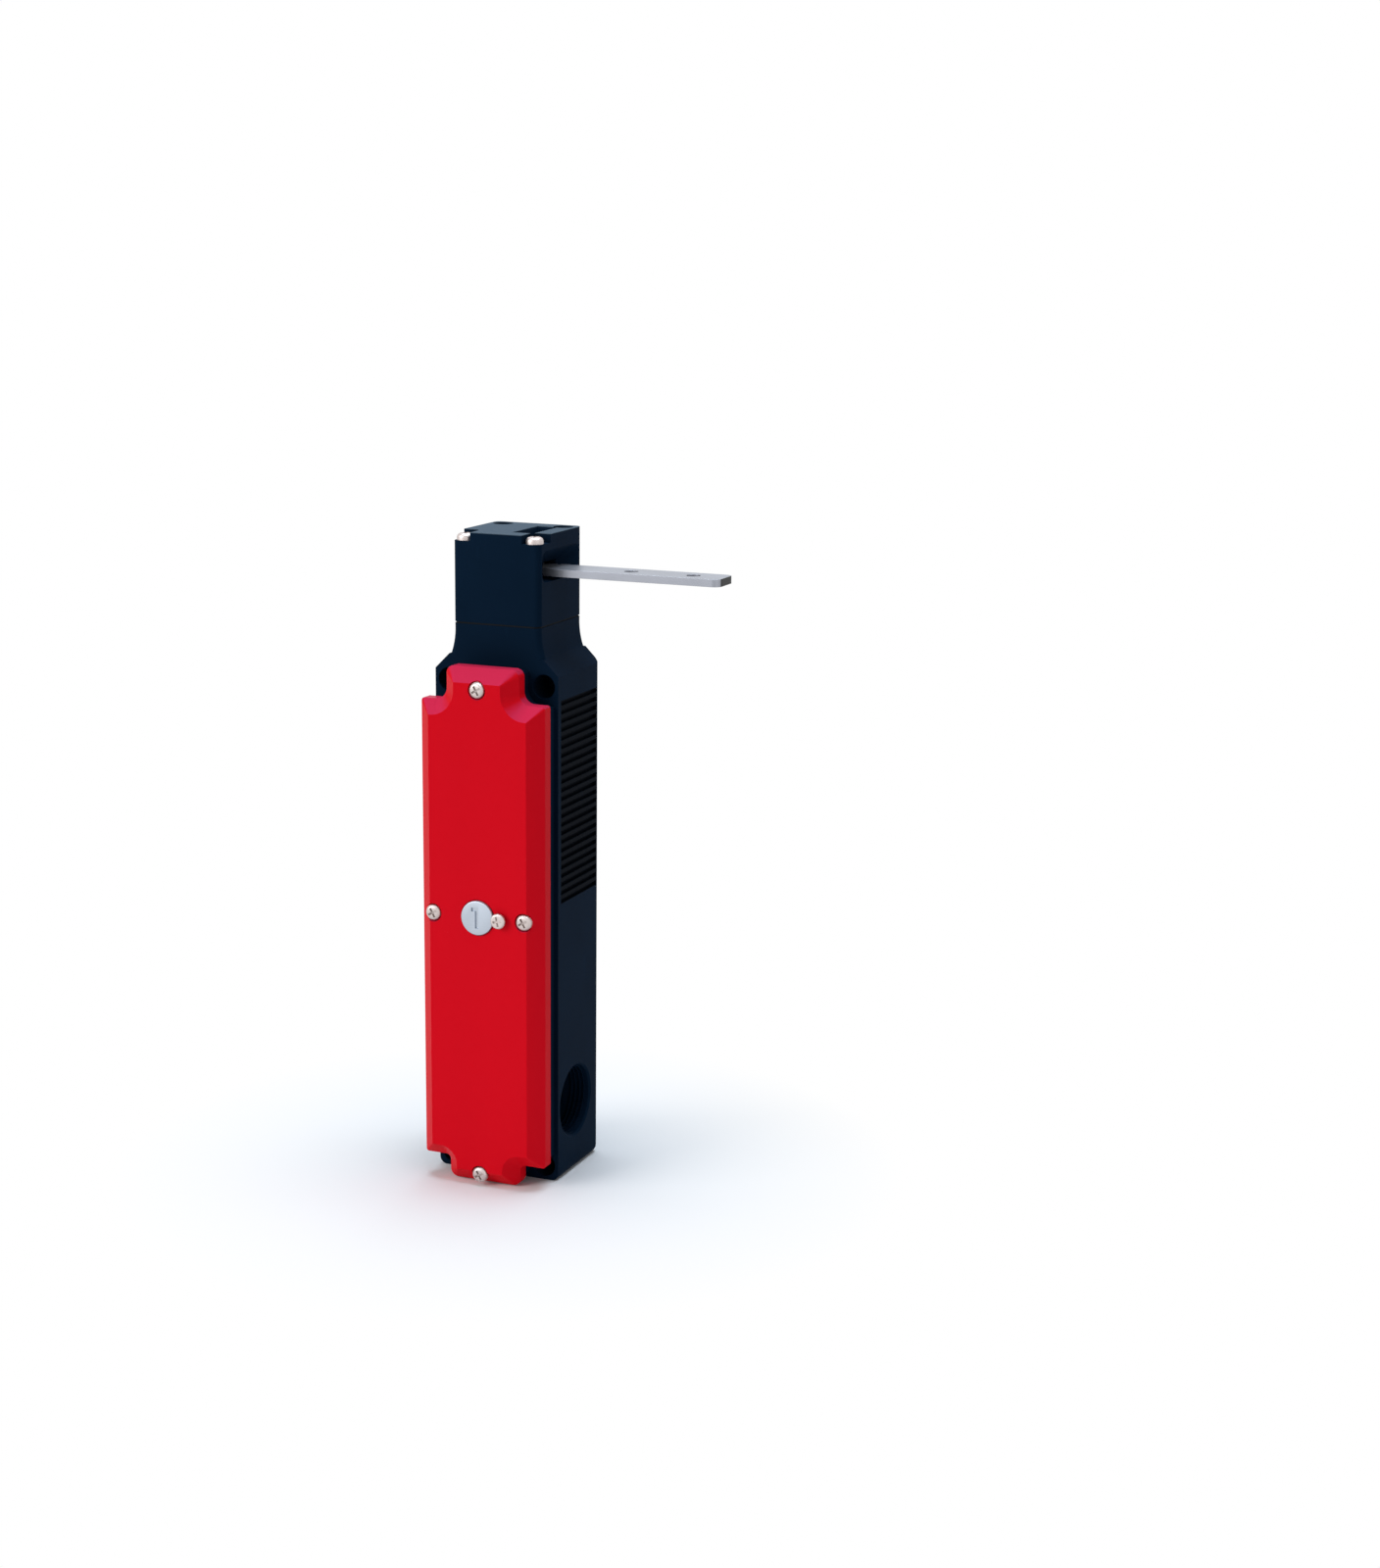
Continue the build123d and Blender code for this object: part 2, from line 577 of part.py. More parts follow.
def make_cam_wheel():
    """Wheel with a notch for the tongue's bar and a low part that rises evenly under the turn."""
    outer = CAM_R + 1
    wheel = Circle(CAM_R)
    start, end = CAM_NOTCH_START, CAM_NOTCH_END
    middle = (start + end) / 2
    notch = Line(polar(CAM_FLOOR_R, start), polar(outer, start))
    notch += ThreePointArc(polar(outer, start), polar(outer, middle), polar(outer, end))
    notch += Line(polar(outer, end), polar(CAM_FLOOR_R, end))
    notch += ThreePointArc(polar(CAM_FLOOR_R, end), polar(CAM_FLOOR_R, middle), polar(CAM_FLOOR_R, start))
    wheel -= make_face(notch)

    foot = 270
    steps = 8
    rise = [foot + CAM_TURN * n / steps for n in range(steps + 1)]
    spiral = [polar(CAM_LOW_R + ROD_STROKE * (a - foot) / CAM_TURN, a) for a in rise]
    low = CAM_RELIEF_START
    relief = Line(polar(outer, low), polar(CAM_LOW_R, low))
    relief += ThreePointArc(polar(CAM_LOW_R, low), polar(CAM_LOW_R, (low + foot) / 2), polar(CAM_LOW_R, foot))
    relief += Spline(*spiral)
    last = foot + CAM_TURN
    relief += Line(spiral[-1], polar(outer, last))
    relief += ThreePointArc(polar(outer, last), polar(outer, (last + low) / 2), polar(outer, low))
    wheel -= make_face(relief)

    disc = Pos(CAM_X, 0, CAM_Z) * slab(wheel, MECH_Y - CAM_T / 2, MECH_Y + CAM_T / 2)
    hub_front = Y_BLOCK + HEAD_WALL + SIDE_GAP
    hub_rear = Y_REAR - HEAD_WALL - SIDE_GAP
    hub = rod_y(CAM_X, CAM_Z, hub_front, hub_rear, CAM_HUB_R)
    bore = rod_y(CAM_X, CAM_Z, Y_BLOCK, Y_REAR, AXLE_R + RUN_GAP)
    return disc + hub - bore


def make_tongue():
    """Flat strip with a window behind its inner bar and two screw holes at its outer end."""
    length = TONGUE_END - BAR_END
    plan = Pos((TONGUE_END + BAR_END) / 2, MECH_Y) * Rectangle(length, TONGUE_W)
    outer = plan.vertices().group_by(Axis.X)[-1]
    plan = fillet(outer, TONGUE_END_R)
    plan = fillet(plan.vertices().group_by(Axis.X)[0], TONGUE_INNER_R)
    window_x = BAR_END + TONGUE_BAR + WINDOW_L / 2
    plan -= Pos(window_x, MECH_Y) * Rectangle(WINDOW_L, WINDOW_W)
    for n in range(2):
        x = TONGUE_END - TONGUE_HOLE_EDGE - n * TONGUE_HOLE_GAP
        plan -= Pos(x, MECH_Y) * Circle(TONGUE_HOLE_R)
    return extrude(Pos(0, 0, TONGUE_Z - TONGUE_T / 2) * plan, amount=TONGUE_T)


def make_actuating_rod():
    """Follower rod from the cam down to the contact carrier, with a round tip."""
    stem = rod_z(CAM_X, MECH_Y, CARRIER_TOP, ROD_TIP - ROD_R, ROD_R)
    return stem + Pos(CAM_X, MECH_Y, ROD_TIP - ROD_R) * Sphere(ROD_R)


def make_rod_collar():
    """Collar that the lock stops and the spring lifts."""
    ring = rod_z(CAM_X, MECH_Y, COLLAR_REST, COLLAR_REST + COLLAR_T, COLLAR_R)
    return ring - rod_z(CAM_X, MECH_Y, COLLAR_REST - 1, COLLAR_REST + COLLAR_T + 1, ROD_R)


def make_rod_bush():
    """Guide bush pressed into the neck."""
    top = CAM_Z - CAM_R - SIDE_GAP
    tube = rod_z(CAM_X, MECH_Y, CAVITY_TOP, top, BUSH_R)
    return tube - rod_z(CAM_X, MECH_Y, CAVITY_TOP - 1, top + 1, ROD_R + RUN_GAP)


def coil_spring(x, y, z0, z1, mean_r):
    """Compression spring between two seats, its wire six-sided so that the mesh stays light."""
    foot = z0 + WIRE_R
    height = z1 - z0 - 2 * WIRE_R
    path = Helix(height / SPRING_TURNS, height, mean_r)
    profile = Plane(origin=path @ 0, z_dir=path % 0) * RegularPolygon(WIRE_R, 6)
    return Pos(x, y, foot) * sweep(profile, path=path, is_frenet=True)


def make_solenoid_frame():
    """Steel loop round the coil, with a tab back to the wall that seats the rod's spring."""
    side = FRAME_W / 2
    y0 = MAGNET_Y - FRAME_D / 2
    y1 = MAGNET_Y + FRAME_D / 2
    loop = block(-side, side, y0, y1, MAGNET_FOOT, MAGNET_TOP)
    loop -= block(-side + PLATE_T, side - PLATE_T, y0, y1, MAGNET_FOOT + PLATE_T, MAGNET_TOP - PLATE_T)
    tab_x0 = CAM_X - FRAME_TAB_W / 2
    loop += block(tab_x0, tab_x0 + FRAME_TAB_W, y1 - 1, Y_INNER, MAGNET_TOP - PLATE_T, MAGNET_TOP)
    loop -= rod_z(CAM_X, MECH_Y, MAGNET_TOP - PLATE_T - 1, MAGNET_TOP + 1, ROD_R + RUN_GAP)
    return loop - rod_z(0, MAGNET_Y, MAGNET_TOP - PLATE_T - 1, MAGNET_TOP + 1, STEM_R + RUN_GAP)


def make_solenoid_bobbin():
    """Flanged spool of the coil."""
    foot = MAGNET_FOOT + PLATE_T
    top = MAGNET_TOP - PLATE_T
    spool = rod_z(0, MAGNET_Y, foot, top, BOBBIN_TUBE_R)
    spool += rod_z(0, MAGNET_Y, foot, foot + BOBBIN_FLANGE_T, BOBBIN_R)
    spool += rod_z(0, MAGNET_Y, top - BOBBIN_FLANGE_T, top, BOBBIN_R)
    return spool - rod_z(0, MAGNET_Y, foot - 1, top + 1, BOBBIN_BORE_R)


def make_solenoid_winding():
    """Wound copper between the flanges."""
    foot = MAGNET_FOOT + PLATE_T + BOBBIN_FLANGE_T
    top = MAGNET_TOP - PLATE_T - BOBBIN_FLANGE_T
    return rod_z(0, MAGNET_Y, foot, top, WINDING_R) - rod_z(0, MAGNET_Y, foot, top, BOBBIN_TUBE_R)


def make_solenoid_core():
    """Fixed pole piece on the frame's lower plate."""
    return rod_z(0, MAGNET_Y, MAGNET_FOOT + PLATE_T, CORE_TOP, BOBBIN_BORE_R)


def make_armature():
    """Moving core with the stem that carries the locking fork."""
    core = rod_z(0, MAGNET_Y, ARMATURE_FOOT, ARMATURE_FOOT + ARMATURE_L, ARMATURE_R)
    return core + rod_z(0, MAGNET_Y, ARMATURE_FOOT + ARMATURE_L, FORK_TOP, STEM_R)


def make_locking_fork():
    """Plate on the stem, forked round the rod's spring, that stands under the collar."""
    arm = FORK_SLOT_R + FORK_ARM
    front = MAGNET_Y - 3 * STEM_R
    plate = block(CAM_X - arm, CAM_X + arm, front, MECH_Y + FORK_SLOT_R, FORK_TOP - FORK_T, FORK_TOP)
    plate -= rod_z(CAM_X, MECH_Y, FORK_TOP - FORK_T - 1, FORK_TOP + 1, FORK_SLOT_R)
    plate -= block(
        CAM_X - FORK_SLOT_R, CAM_X + FORK_SLOT_R, MECH_Y, MECH_Y + 2 * FORK_SLOT_R,
        FORK_TOP - FORK_T - 1, FORK_TOP + 1,
    )
    return plate - rod_z(0, MAGNET_Y, FORK_TOP - FORK_T - 1, FORK_TOP + 1, STEM_R)


def bridge_levels():
    """Undersides of the bridging strips."""
    return [CARRIER_FOOT + share * CARRIER_H for share in BRIDGE_SHARES]


def bridge_strips():
    """The bridging strips without their buttons."""
    half = BRIDGE_L / 2
    y0 = MECH_Y - BRIDGE_W / 2
    y1 = MECH_Y + BRIDGE_W / 2
    return [block(CAM_X - half, CAM_X + half, y0, y1, z, z + BRIDGE_T) for z in bridge_levels()]


def button_x():
    """Distance of the contact buttons from the rod."""
    return BRIDGE_L / 2 - BUTTON_R


def make_moving_contacts():
    """Two bridging strips, each with a button at both ends."""
    strips = []
    for z, strip in zip(bridge_levels(), bridge_strips()):
        for i in (-1, 1):
            strip += rod_z(CAM_X + i * button_x(), MECH_Y, z + BRIDGE_T, z + BRIDGE_T + BUTTON_T, BUTTON_R)
        strips.append(strip)
    return strips


def make_contact_carrier():
    """Moulded carrier on the rod's foot, slotted for the bridging strips."""
    x0 = CAM_X - CARRIER_W / 2
    y0 = MECH_Y - CARRIER_D / 2
    body = block(x0, x0 + CARRIER_W, y0, y0 + CARRIER_D, CARRIER_FOOT, CARRIER_TOP)
    return body - bridge_strips()


def contact_bars():
    """Fixed strips above the ends of the bridging strips, out through the block's walls."""
    bars = []
    for z in bridge_levels():
        foot = z + BRIDGE_T + BUTTON_T + CONTACT_GAP
        for i in (-1, 1):
            outer = CAM_X + i * (BLOCK_W / 2 + BLOCK_WALL / 2)
            x0, x1 = sorted((outer, outer - i * CONTACT_L))
            bars.append(block(x0, x1, MECH_Y - BRIDGE_W / 2, MECH_Y + BRIDGE_W / 2, foot, foot + BRIDGE_T))
    return bars


def make_contact_block():
    """Block on the rear wall, open at the front, around the carrier."""
    x0 = CAM_X - BLOCK_W / 2
    x1 = CAM_X + BLOCK_W / 2
    y0 = MECH_Y - BLOCK_FRONT
    y1 = MECH_Y + CARRIER_D / 2 + 2 * SIDE_GAP
    body = block(x0, x1, y0, Y_INNER, BLOCK_FOOT, BLOCK_TOP)
    body -= block(x0 + BLOCK_WALL, x1 - BLOCK_WALL, y0, y1, BLOCK_FOOT + BLOCK_WALL, BLOCK_TOP - BLOCK_WALL)
    body -= rod_z(CAM_X, MECH_Y, BLOCK_TOP - BLOCK_WALL - 1, BLOCK_TOP + 1, ROD_R + RUN_GAP)
    return body - contact_bars()


def terminal_places():
    """X of the terminal screws."""
    return [(n - (TERMINAL_COUNT - 1) / 2) * TERMINAL_PITCH for n in range(TERMINAL_COUNT)]


def make_terminal_block():
    """Moulded bar across the body with a screw well for each wire."""
    half = TERMINAL_W / 2
    z = TERMINAL_FOOT + TERMINAL_H / 2
    body = block(-half, half, TERMINAL_FRONT, Y_INNER, TERMINAL_FOOT, TERMINAL_FOOT + TERMINAL_H)
    well_end = TERMINAL_FRONT + TERMINAL_SHANK_L
    return body - [rod_y(x, z, TERMINAL_FRONT, well_end, TERMINAL_SHANK_R) for x in terminal_places()]


def flat_screw(x, z, seat, head_r, head_t, shank_r, shank_l):
    """Cheese head screw along Y, its head towards the cover."""
    return rod_y(x, z, seat - head_t, seat, head_r) + rod_y(x, z, seat, seat + shank_l, shank_r)


def make_terminal_screws():
    """One clamping screw for each wire."""
    z = TERMINAL_FOOT + TERMINAL_H / 2
    return [
        flat_screw(x, z, TERMINAL_FRONT, TERMINAL_HEAD_R, TERMINAL_HEAD_T, TERMINAL_SHANK_R, TERMINAL_SHANK_L)
        for x in terminal_places()
    ]


def make_earth_screw():
    """Screw for the protective conductor in the rear wall of the wiring room."""
    return flat_screw(0, EARTH_Z, Y_INNER, EARTH_HEAD_R, EARTH_HEAD_T, COVER_SCREW_R, WALL / 2)


def make_blanking_plug():
    """Threaded plug flush in the second cable entry, with a hexagon socket."""
    head_x = -SIDE + PLUG_HEAD_T
    plug = rod_x(ENTRY_Y, ENTRY_Z, -SIDE, head_x, PLUG_HEAD_R - RUN_GAP)
    plug += rod_x(ENTRY_Y, ENTRY_Z, head_x, -SIDE + ENTRY_MOUTH_DEPTH + ENTRY_LENGTH, ENTRY_R)
    key = Plane.YZ.offset(-SIDE) * Pos(ENTRY_Y, ENTRY_Z) * RegularPolygon(PLUG_KEY_R, 6)
    return plug - extrude(key, amount=PLUG_KEY_DEPTH)


def make_plug_seal():
    """Flat ring under the plug's head."""
    x0 = -SIDE + PLUG_HEAD_T
    ring = rod_x(ENTRY_Y, ENTRY_Z, x0, x0 + PLUG_SEAL_T, PLUG_HEAD_R)
    return ring - rod_x(ENTRY_Y, ENTRY_Z, x0 - 1, x0 + PLUG_SEAL_T + 1, ENTRY_R)


def make_release_disc():
    """Slotted disc of the manual release, just proud of the cover."""
    front = Y_FRONT - DISC_PROUD
    disc = rod_y(0, RELEASE_Z, front, front + DISC_T, DISC_R)
    half = DISC_R * 0.6
    return disc - block(
        -SLOT_CUT_W / 2, SLOT_CUT_W / 2, front - 1, front + SLOT_CUT_DEPTH, RELEASE_Z - half, RELEASE_Z + half
    )


def make_release_spindle():
    """Spindle behind the disc with the eccentric that works the lock."""
    y0 = Y_FRONT - DISC_PROUD + DISC_T
    y1 = y0 + SPINDLE_L
    spindle = rod_y(0, RELEASE_Z, y0, y1, SPINDLE_R)
    return spindle + rod_y(0, RELEASE_Z + ECCENTRIC_SHIFT, y1 - ECCENTRIC_T, y1, ECCENTRIC_R)


def make_release_bush():
    """Bush in the cover's boss that the spindle turns in."""
    y0 = Y_FRONT - DISC_PROUD + DISC_T + RUN_GAP
    tube = rod_y(0, RELEASE_Z, y0, Y_RIM, RELEASE_BUSH_R)
    return tube - rod_y(0, RELEASE_Z, y0 - 1, Y_RIM + 1, SPINDLE_R + RUN_GAP)


def make_release_locking_screw():
    """Small screw whose head reaches over the disc's edge."""
    under = Y_FRONT - DISC_PROUD - DISC_GAP
    head = rod_y(LOCKING_X, RELEASE_Z, under - LOCKING_HEAD_T, under, LOCKING_HEAD_R)
    return head + rod_y(LOCKING_X, RELEASE_Z, under, Y_FRONT + COVER_WALL, LOCKING_SHANK_R)


def write(name, shape):
    """One file for each sub-part, a group of like solids as one compound."""
    if isinstance(shape, list):
        shape = Compound(children=[Part() + solid for solid in shape])
    export_step(shape, f"parts/{name}.step")


def main():
    """Make and write every sub-part."""
    write("housing", make_housing())
    write("front_cover", make_front_cover())
    write("cover_gasket", make_cover_gasket())
    write("cover_screws", make_cover_screws())
    write("head_housing", make_head_housing())
    write("head_gasket", make_head_gasket())
    write("head_screws", make_head_screws())
    write("cam_axle", make_cam_axle())
    write("cam_wheel", make_cam_wheel())
    write("tongue", make_tongue())
    write("actuating_rod", make_actuating_rod())
    write("rod_collar", make_rod_collar())
    write("rod_bush", make_rod_bush())
    write("rod_spring", coil_spring(CAM_X, MECH_Y, MAGNET_TOP, COLLAR_REST, ROD_SPRING_R))
    write("solenoid_frame", make_solenoid_frame())
    write("solenoid_bobbin", make_solenoid_bobbin())
    write("solenoid_winding", make_solenoid_winding())
    write("solenoid_core", make_solenoid_core())
    write("armature", make_armature())
    write("locking_fork", make_locking_fork())
    write("armature_spring", coil_spring(0, MAGNET_Y, MAGNET_TOP, FORK_TOP - FORK_T, ARMATURE_SPRING_R))
    write("contact_block", make_contact_block())
    write("contact_carrier", make_contact_carrier())
    write("moving_contacts", make_moving_contacts())
    write("fixed_contacts", contact_bars())
    write("terminal_block", make_terminal_block())
    write("terminal_screws", make_terminal_screws())
    write("earth_screw", make_earth_screw())
    write("blanking_plug", make_blanking_plug())
    write("plug_seal", make_plug_seal())
    write("release_disc", make_release_disc())
    write("release_spindle", make_release_spindle())
    write("release_bush", make_release_bush())
    write("release_locking_screw", make_release_locking_screw())


main()
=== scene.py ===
"""Looks for the tongue interlock switch, laid out as an add-on and run as a script."""
import json
import math

import bpy
import bmesh
from mathutils import Matrix, Vector


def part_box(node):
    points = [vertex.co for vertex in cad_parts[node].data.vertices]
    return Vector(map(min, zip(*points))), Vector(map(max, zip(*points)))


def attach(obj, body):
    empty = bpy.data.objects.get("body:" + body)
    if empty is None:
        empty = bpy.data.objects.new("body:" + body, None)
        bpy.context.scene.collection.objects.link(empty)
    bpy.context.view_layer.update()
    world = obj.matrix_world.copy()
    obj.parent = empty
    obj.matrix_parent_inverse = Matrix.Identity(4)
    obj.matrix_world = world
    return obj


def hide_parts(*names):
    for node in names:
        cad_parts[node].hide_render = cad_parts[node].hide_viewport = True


bl_info = {
    "name": "Tongue Interlock Switch",
    "version": (1, 0, 0),
    "blender": (4, 5, 0),
    "location": "View3D > Sidebar > Switch",
    "description": "Dresses the packed parts of a guard-locking tongue switch",
    "category": "Object",
}

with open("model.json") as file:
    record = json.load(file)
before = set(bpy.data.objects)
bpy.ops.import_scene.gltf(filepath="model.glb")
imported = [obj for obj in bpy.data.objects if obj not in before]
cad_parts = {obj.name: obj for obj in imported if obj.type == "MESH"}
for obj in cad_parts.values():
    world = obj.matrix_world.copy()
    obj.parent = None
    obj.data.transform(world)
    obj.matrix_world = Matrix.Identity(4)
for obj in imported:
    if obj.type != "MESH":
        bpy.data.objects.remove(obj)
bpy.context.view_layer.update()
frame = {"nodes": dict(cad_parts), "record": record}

MM = 0.001
HAIR = 0.001 * MM
WELD = 0.002 * MM
ROUND_STEPS = 48

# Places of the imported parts
DISC_LOW, DISC_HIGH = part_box("release_disc")
DISC = [(a + b) / 2 for a, b in zip(DISC_LOW, DISC_HIGH)]
DISC_FRONT = DISC_LOW[1]
DISC_R = (DISC_HIGH[0] - DISC_LOW[0]) / 2
TONGUE_LOW, TONGUE_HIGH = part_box("tongue")
HEAD_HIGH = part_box("head_housing")[1]
HOUSING_LOW, HOUSING_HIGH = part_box("housing")
SCREWS_LOW, SCREWS_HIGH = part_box("cover_screws")
CAPS_LOW, CAPS_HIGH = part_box("head_screws")
LOCK_LOW, LOCK_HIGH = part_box("release_locking_screw")

# Ribbed area of the housing's sides, which gets painted shade, the head's roof, which gets painted
# light, and how far a colour takes to fade
RIBS_FOOT = 93.0 * MM
RIBS_TOP = 158.8 * MM
RIBS_FRONT = -6.6 * MM
RIBS_REAR = 20.8 * MM
RIB_LAYER = 1.3 * MM
EDGE = 0.2 * MM
ROOF_LAYER = 0.3 * MM

# Tongue
TONGUE_CORNER = 2.5 * MM
TONGUE_BAR = 3.0 * MM
WINDOW_LENGTH = 7.0 * MM
WINDOW_HALF = 3.8 * MM
HOLE_R = 2.25 * MM
HOLE_EDGE = 11.0 * MM
HOLE_GAP = 21.0 * MM
HOLE_CUTTER = 6.0 * MM
DARK_FADE = 0.15 * MM

# Screw heads: heights, and how far in the rear pair on the head stands
COVER_SCREW_H = 1.9 * MM
HEAD_SCREW_H = 2.2 * MM
LOCK_SCREW_H = 1.1 * MM
REAR_EDGE = 4.4 * MM

# Release disc and its slot
DISC_THICK = 1.2 * MM
DISC_ROUND = 0.35 * MM
SLOT_DEPTH = 0.5 * MM
HOOK = 1.9 * MM

# Cable entry's thread
THREAD_TURNS = 4
THREAD_BACK = 2.0 * MM

# Lamps: place, size, power and colour
LAMPS = {
    "key_lamp": ((-0.7, -0.85, 0.6), 0.7, 8.0, (1, 1, 1)),
    "fill_lamp": ((0.9, -0.5, 0.35), 0.8, 0.8, (1, 1, 1)),
    "top_lamp": ((0.05, 0.1, 1.0), 0.6, 8.0, (0.76, 0.88, 1)),
}

# Colours that stand for one place or finish, among them painted shade for the ribs, painted light
# for the roof and a painted reflection for the cover's upward faces
BLACK = (0, 0, 0, 1)
WHITE = (1, 1, 1, 1)
# Painted shade: near black laid over the ribbed zone of the sides for the shadow in its grooves
RIB_PAINTED_SHADE = (0.003, 0.0035, 0.005, 1)
# Painted light: paler navy laid on the head's roof for the light that falls on it from above
ROOF_PAINTED_LIGHT = (0.055, 0.082, 0.11, 1)
# Painted reflection: paler, bluer red laid on the cover's upward faces for the sky light they
# reflect
UPWARD_PAINTED_REFLECTION = (0.56, 0.021, 0.066, 1)
DUST_COLOUR = (0.8, 0.4, 0.42, 1)
COPPER_DARK = (0.2, 0.06, 0.02, 1)
COPPER_BRIGHT = (0.65, 0.27, 0.12, 1)
PAPER = (0.86, 0.86, 0.87, 1)
SKY = (0.95, 0.97, 1, 1)

# Wire's thickness, the world's light, and where the floor turns white
WIRE = 0.4 * MM
SKY_STRENGTH = 0.3
FLOOR_SIZE = 8
FLOOR_FADE = 0.03
FLOOR_WHITE = 0.13

# Camera at the photograph's viewing angle
CAMERA_PLACE = (0.36021, -0.74156, 0.30859)
CAMERA_RIGHT = (0.92719, 0.37443, 0.01078)
CAMERA_UP = (-0.0894, 0.19324, 0.97707)
CAMERA_FORWARD = (-0.36376, 0.9069, -0.21265)
CAMERA_LENS = 60.05


class SwitchSizes(bpy.types.PropertyGroup):
    """Sizes that a user would change."""
    edge_round: bpy.props.FloatProperty(
        name="Edge rounding", description="Radius on the mouldings' edges",
        default=0.35 * MM, unit="LENGTH")
    cover_round: bpy.props.FloatProperty(
        name="Cover rounding", description="Radius on the cover's edges",
        default=0.5 * MM, unit="LENGTH")
    tongue_round: bpy.props.FloatProperty(
        name="Tongue rounding", description="Radius on the tongue's edges",
        default=0.3 * MM, unit="LENGTH")
    cover_screw_r: bpy.props.FloatProperty(
        name="Cover screw head", description="Radius of a cover screw's head",
        default=2.6 * MM, unit="LENGTH")
    head_screw_r: bpy.props.FloatProperty(
        name="Head screw head", description="Radius of a head screw's head",
        default=2.8 * MM, unit="LENGTH")
    thread_pitch: bpy.props.FloatProperty(
        name="Thread pitch", description="Pitch of the cable entry's thread",
        default=1.5 * MM, unit="LENGTH")
    thread_r: bpy.props.FloatProperty(
        name="Thread radius", description="Outer radius of the cable entry's thread",
        default=11.7 * MM, unit="LENGTH")
    slot_width: bpy.props.FloatProperty(
        name="Release slot", description="Width of the slot in the release disc",
        default=1.2 * MM, unit="LENGTH")


class SwitchColours(bpy.types.PropertyGroup):
    """Colours that a user would change."""
    navy: bpy.props.FloatVectorProperty(
        name="Navy", description="Colour of the housing and head", subtype="COLOR", size=3,
        default=(0.003, 0.0105, 0.024))
    red: bpy.props.FloatVectorProperty(
        name="Red", description="Colour of the cover", subtype="COLOR", size=3,
        default=(0.64, 0.004, 0.012))
    steel: bpy.props.FloatVectorProperty(
        name="Steel", description="Colour of the tongue", subtype="COLOR", size=3,
        default=(0.35, 0.365, 0.41))
    plated: bpy.props.FloatVectorProperty(
        name="Plating", description="Colour of the screws", subtype="COLOR", size=3,
        default=(0.62, 0.55, 0.53))
    disc: bpy.props.FloatVectorProperty(
        name="Disc", description="Colour of the release disc", subtype="COLOR", size=3,
        default=(0.48, 0.53, 0.6))


class Signal:
    """A socket that takes part in arithmetic, each step adding a Math node."""

    def __init__(self, finish, socket):
        self.finish = finish
        self.socket = socket

    def math(self, operation, *others):
        """Math node with this socket first."""
        values = dict(enumerate((self,) + others))
        return self.finish.add("ShaderNodeMath", {"operation": operation}, values)

    def reflected(self, operation, other):
        """Math node with this socket second."""
        return self.finish.add("ShaderNodeMath", {"operation": operation}, {0: other, 1: self})

    def __add__(self, other):
        return self.math("ADD", other)

    def __radd__(self, other):
        return self.reflected("ADD", other)

    def __sub__(self, other):
        return self.math("SUBTRACT", other)

    def __rsub__(self, other):
        return self.reflected("SUBTRACT", other)

    def __mul__(self, other):
        return self.math("MULTIPLY", other)

    def __rmul__(self, other):
        return self.reflected("MULTIPLY", other)


class Finish:
    """The nodes of a new material, or of the world."""

    def __init__(self, owner):
        self.owner = owner
        owner.use_nodes = True
        self.tree = owner.node_tree
        self.tree.nodes.clear()

    def add(self, kind, settings, sockets, output=0):
        """One node: its type, its settings, then the values or links of its sockets."""
        node = self.tree.nodes.new(kind)
        for key, value in settings.items():
            if key == "stops":
                ramp = node.color_ramp
                ramp.elements[0].position, ramp.elements[0].color = value[0]
                ramp.elements[1].position, ramp.elements[1].color = value[-1]
                for position, colour in value[1:-1]:
                    ramp.elements.new(position).color = colour
            else:
                setattr(node, key, value)
        for key, value in sockets.items():
            if isinstance(value, Signal):
                self.tree.links.new(value.socket, node.inputs[key])
            else:
                node.inputs[key].default_value = value
        return Signal(self, node.outputs[output]) if node.outputs else node

    def place(self, kind="Object"):
        """Coordinates on the object, or its normal."""
        return self.add("ShaderNodeTexCoord", {}, {}, kind)

    def noise(self, scale, detail=3.0, stretch=(1, 1, 1)):
        """Noise over the object, stretched along its axes, scale in features a metre."""
        mapped = self.add("ShaderNodeMapping", {}, {"Vector": self.place(), "Scale": stretch})
        sockets = {"Vector": mapped, "Scale": scale, "Detail": detail}
        return self.add("ShaderNodeTexNoise", {}, sockets)

    def axis(self, name, kind="Object"):
        """One coordinate of the object in metres, or one part of its normal."""
        return self.add("ShaderNodeSeparateXYZ", {}, {0: self.place(kind)}, name)

    def blend(self, factor, first, second):
        """Colour between two colours."""
        settings = {"data_type": "RGBA"}
        return self.add("ShaderNodeMix", settings, {0: factor, 6: first, 7: second}, 2)

    def ramp(self, factor, low, high):
        """0 below low, 1 above high."""
        stops = [(low, BLACK), (high, WHITE)]
        return self.add("ShaderNodeValToRGB", {"stops": stops}, {0: factor})

    def step(self, value, low, high):
        """0 below low, 1 above high, sharp enough for a fraction of a millimetre."""
        return self.add("ShaderNodeMapRange", {}, {0: value, 1: low, 2: high})

    def bump(self, height, strength, distance):
        """Small relief, its distance in metres."""
        sockets = {"Height": height, "Strength": strength, "Distance": distance}
        return self.add("ShaderNodeBump", {}, sockets)

    def background_rays(self):
        """1 where a ray shows the background: to the camera, off metal and through glass."""
        kinds = ("Is Camera Ray", "Is Glossy Ray", "Is Transmission Ray")
        seen, glossy, clear = [self.add("ShaderNodeLightPath", {}, {}, kind) for kind in kinds]
        return seen.math("MAXIMUM", glossy).math("MAXIMUM", clear)

    def close(self, sockets):
        """Principled shader and output."""
        shader = self.add("ShaderNodeBsdfPrincipled", {}, sockets)
        self.add("ShaderNodeOutputMaterial", {}, {0: shader})
        return self.owner


def tone(colour, gain=1.0):
    """A colour made lighter or darker, with its alpha."""
    return tuple(min(c * gain, 1.0) for c in colour) + (1.0,)


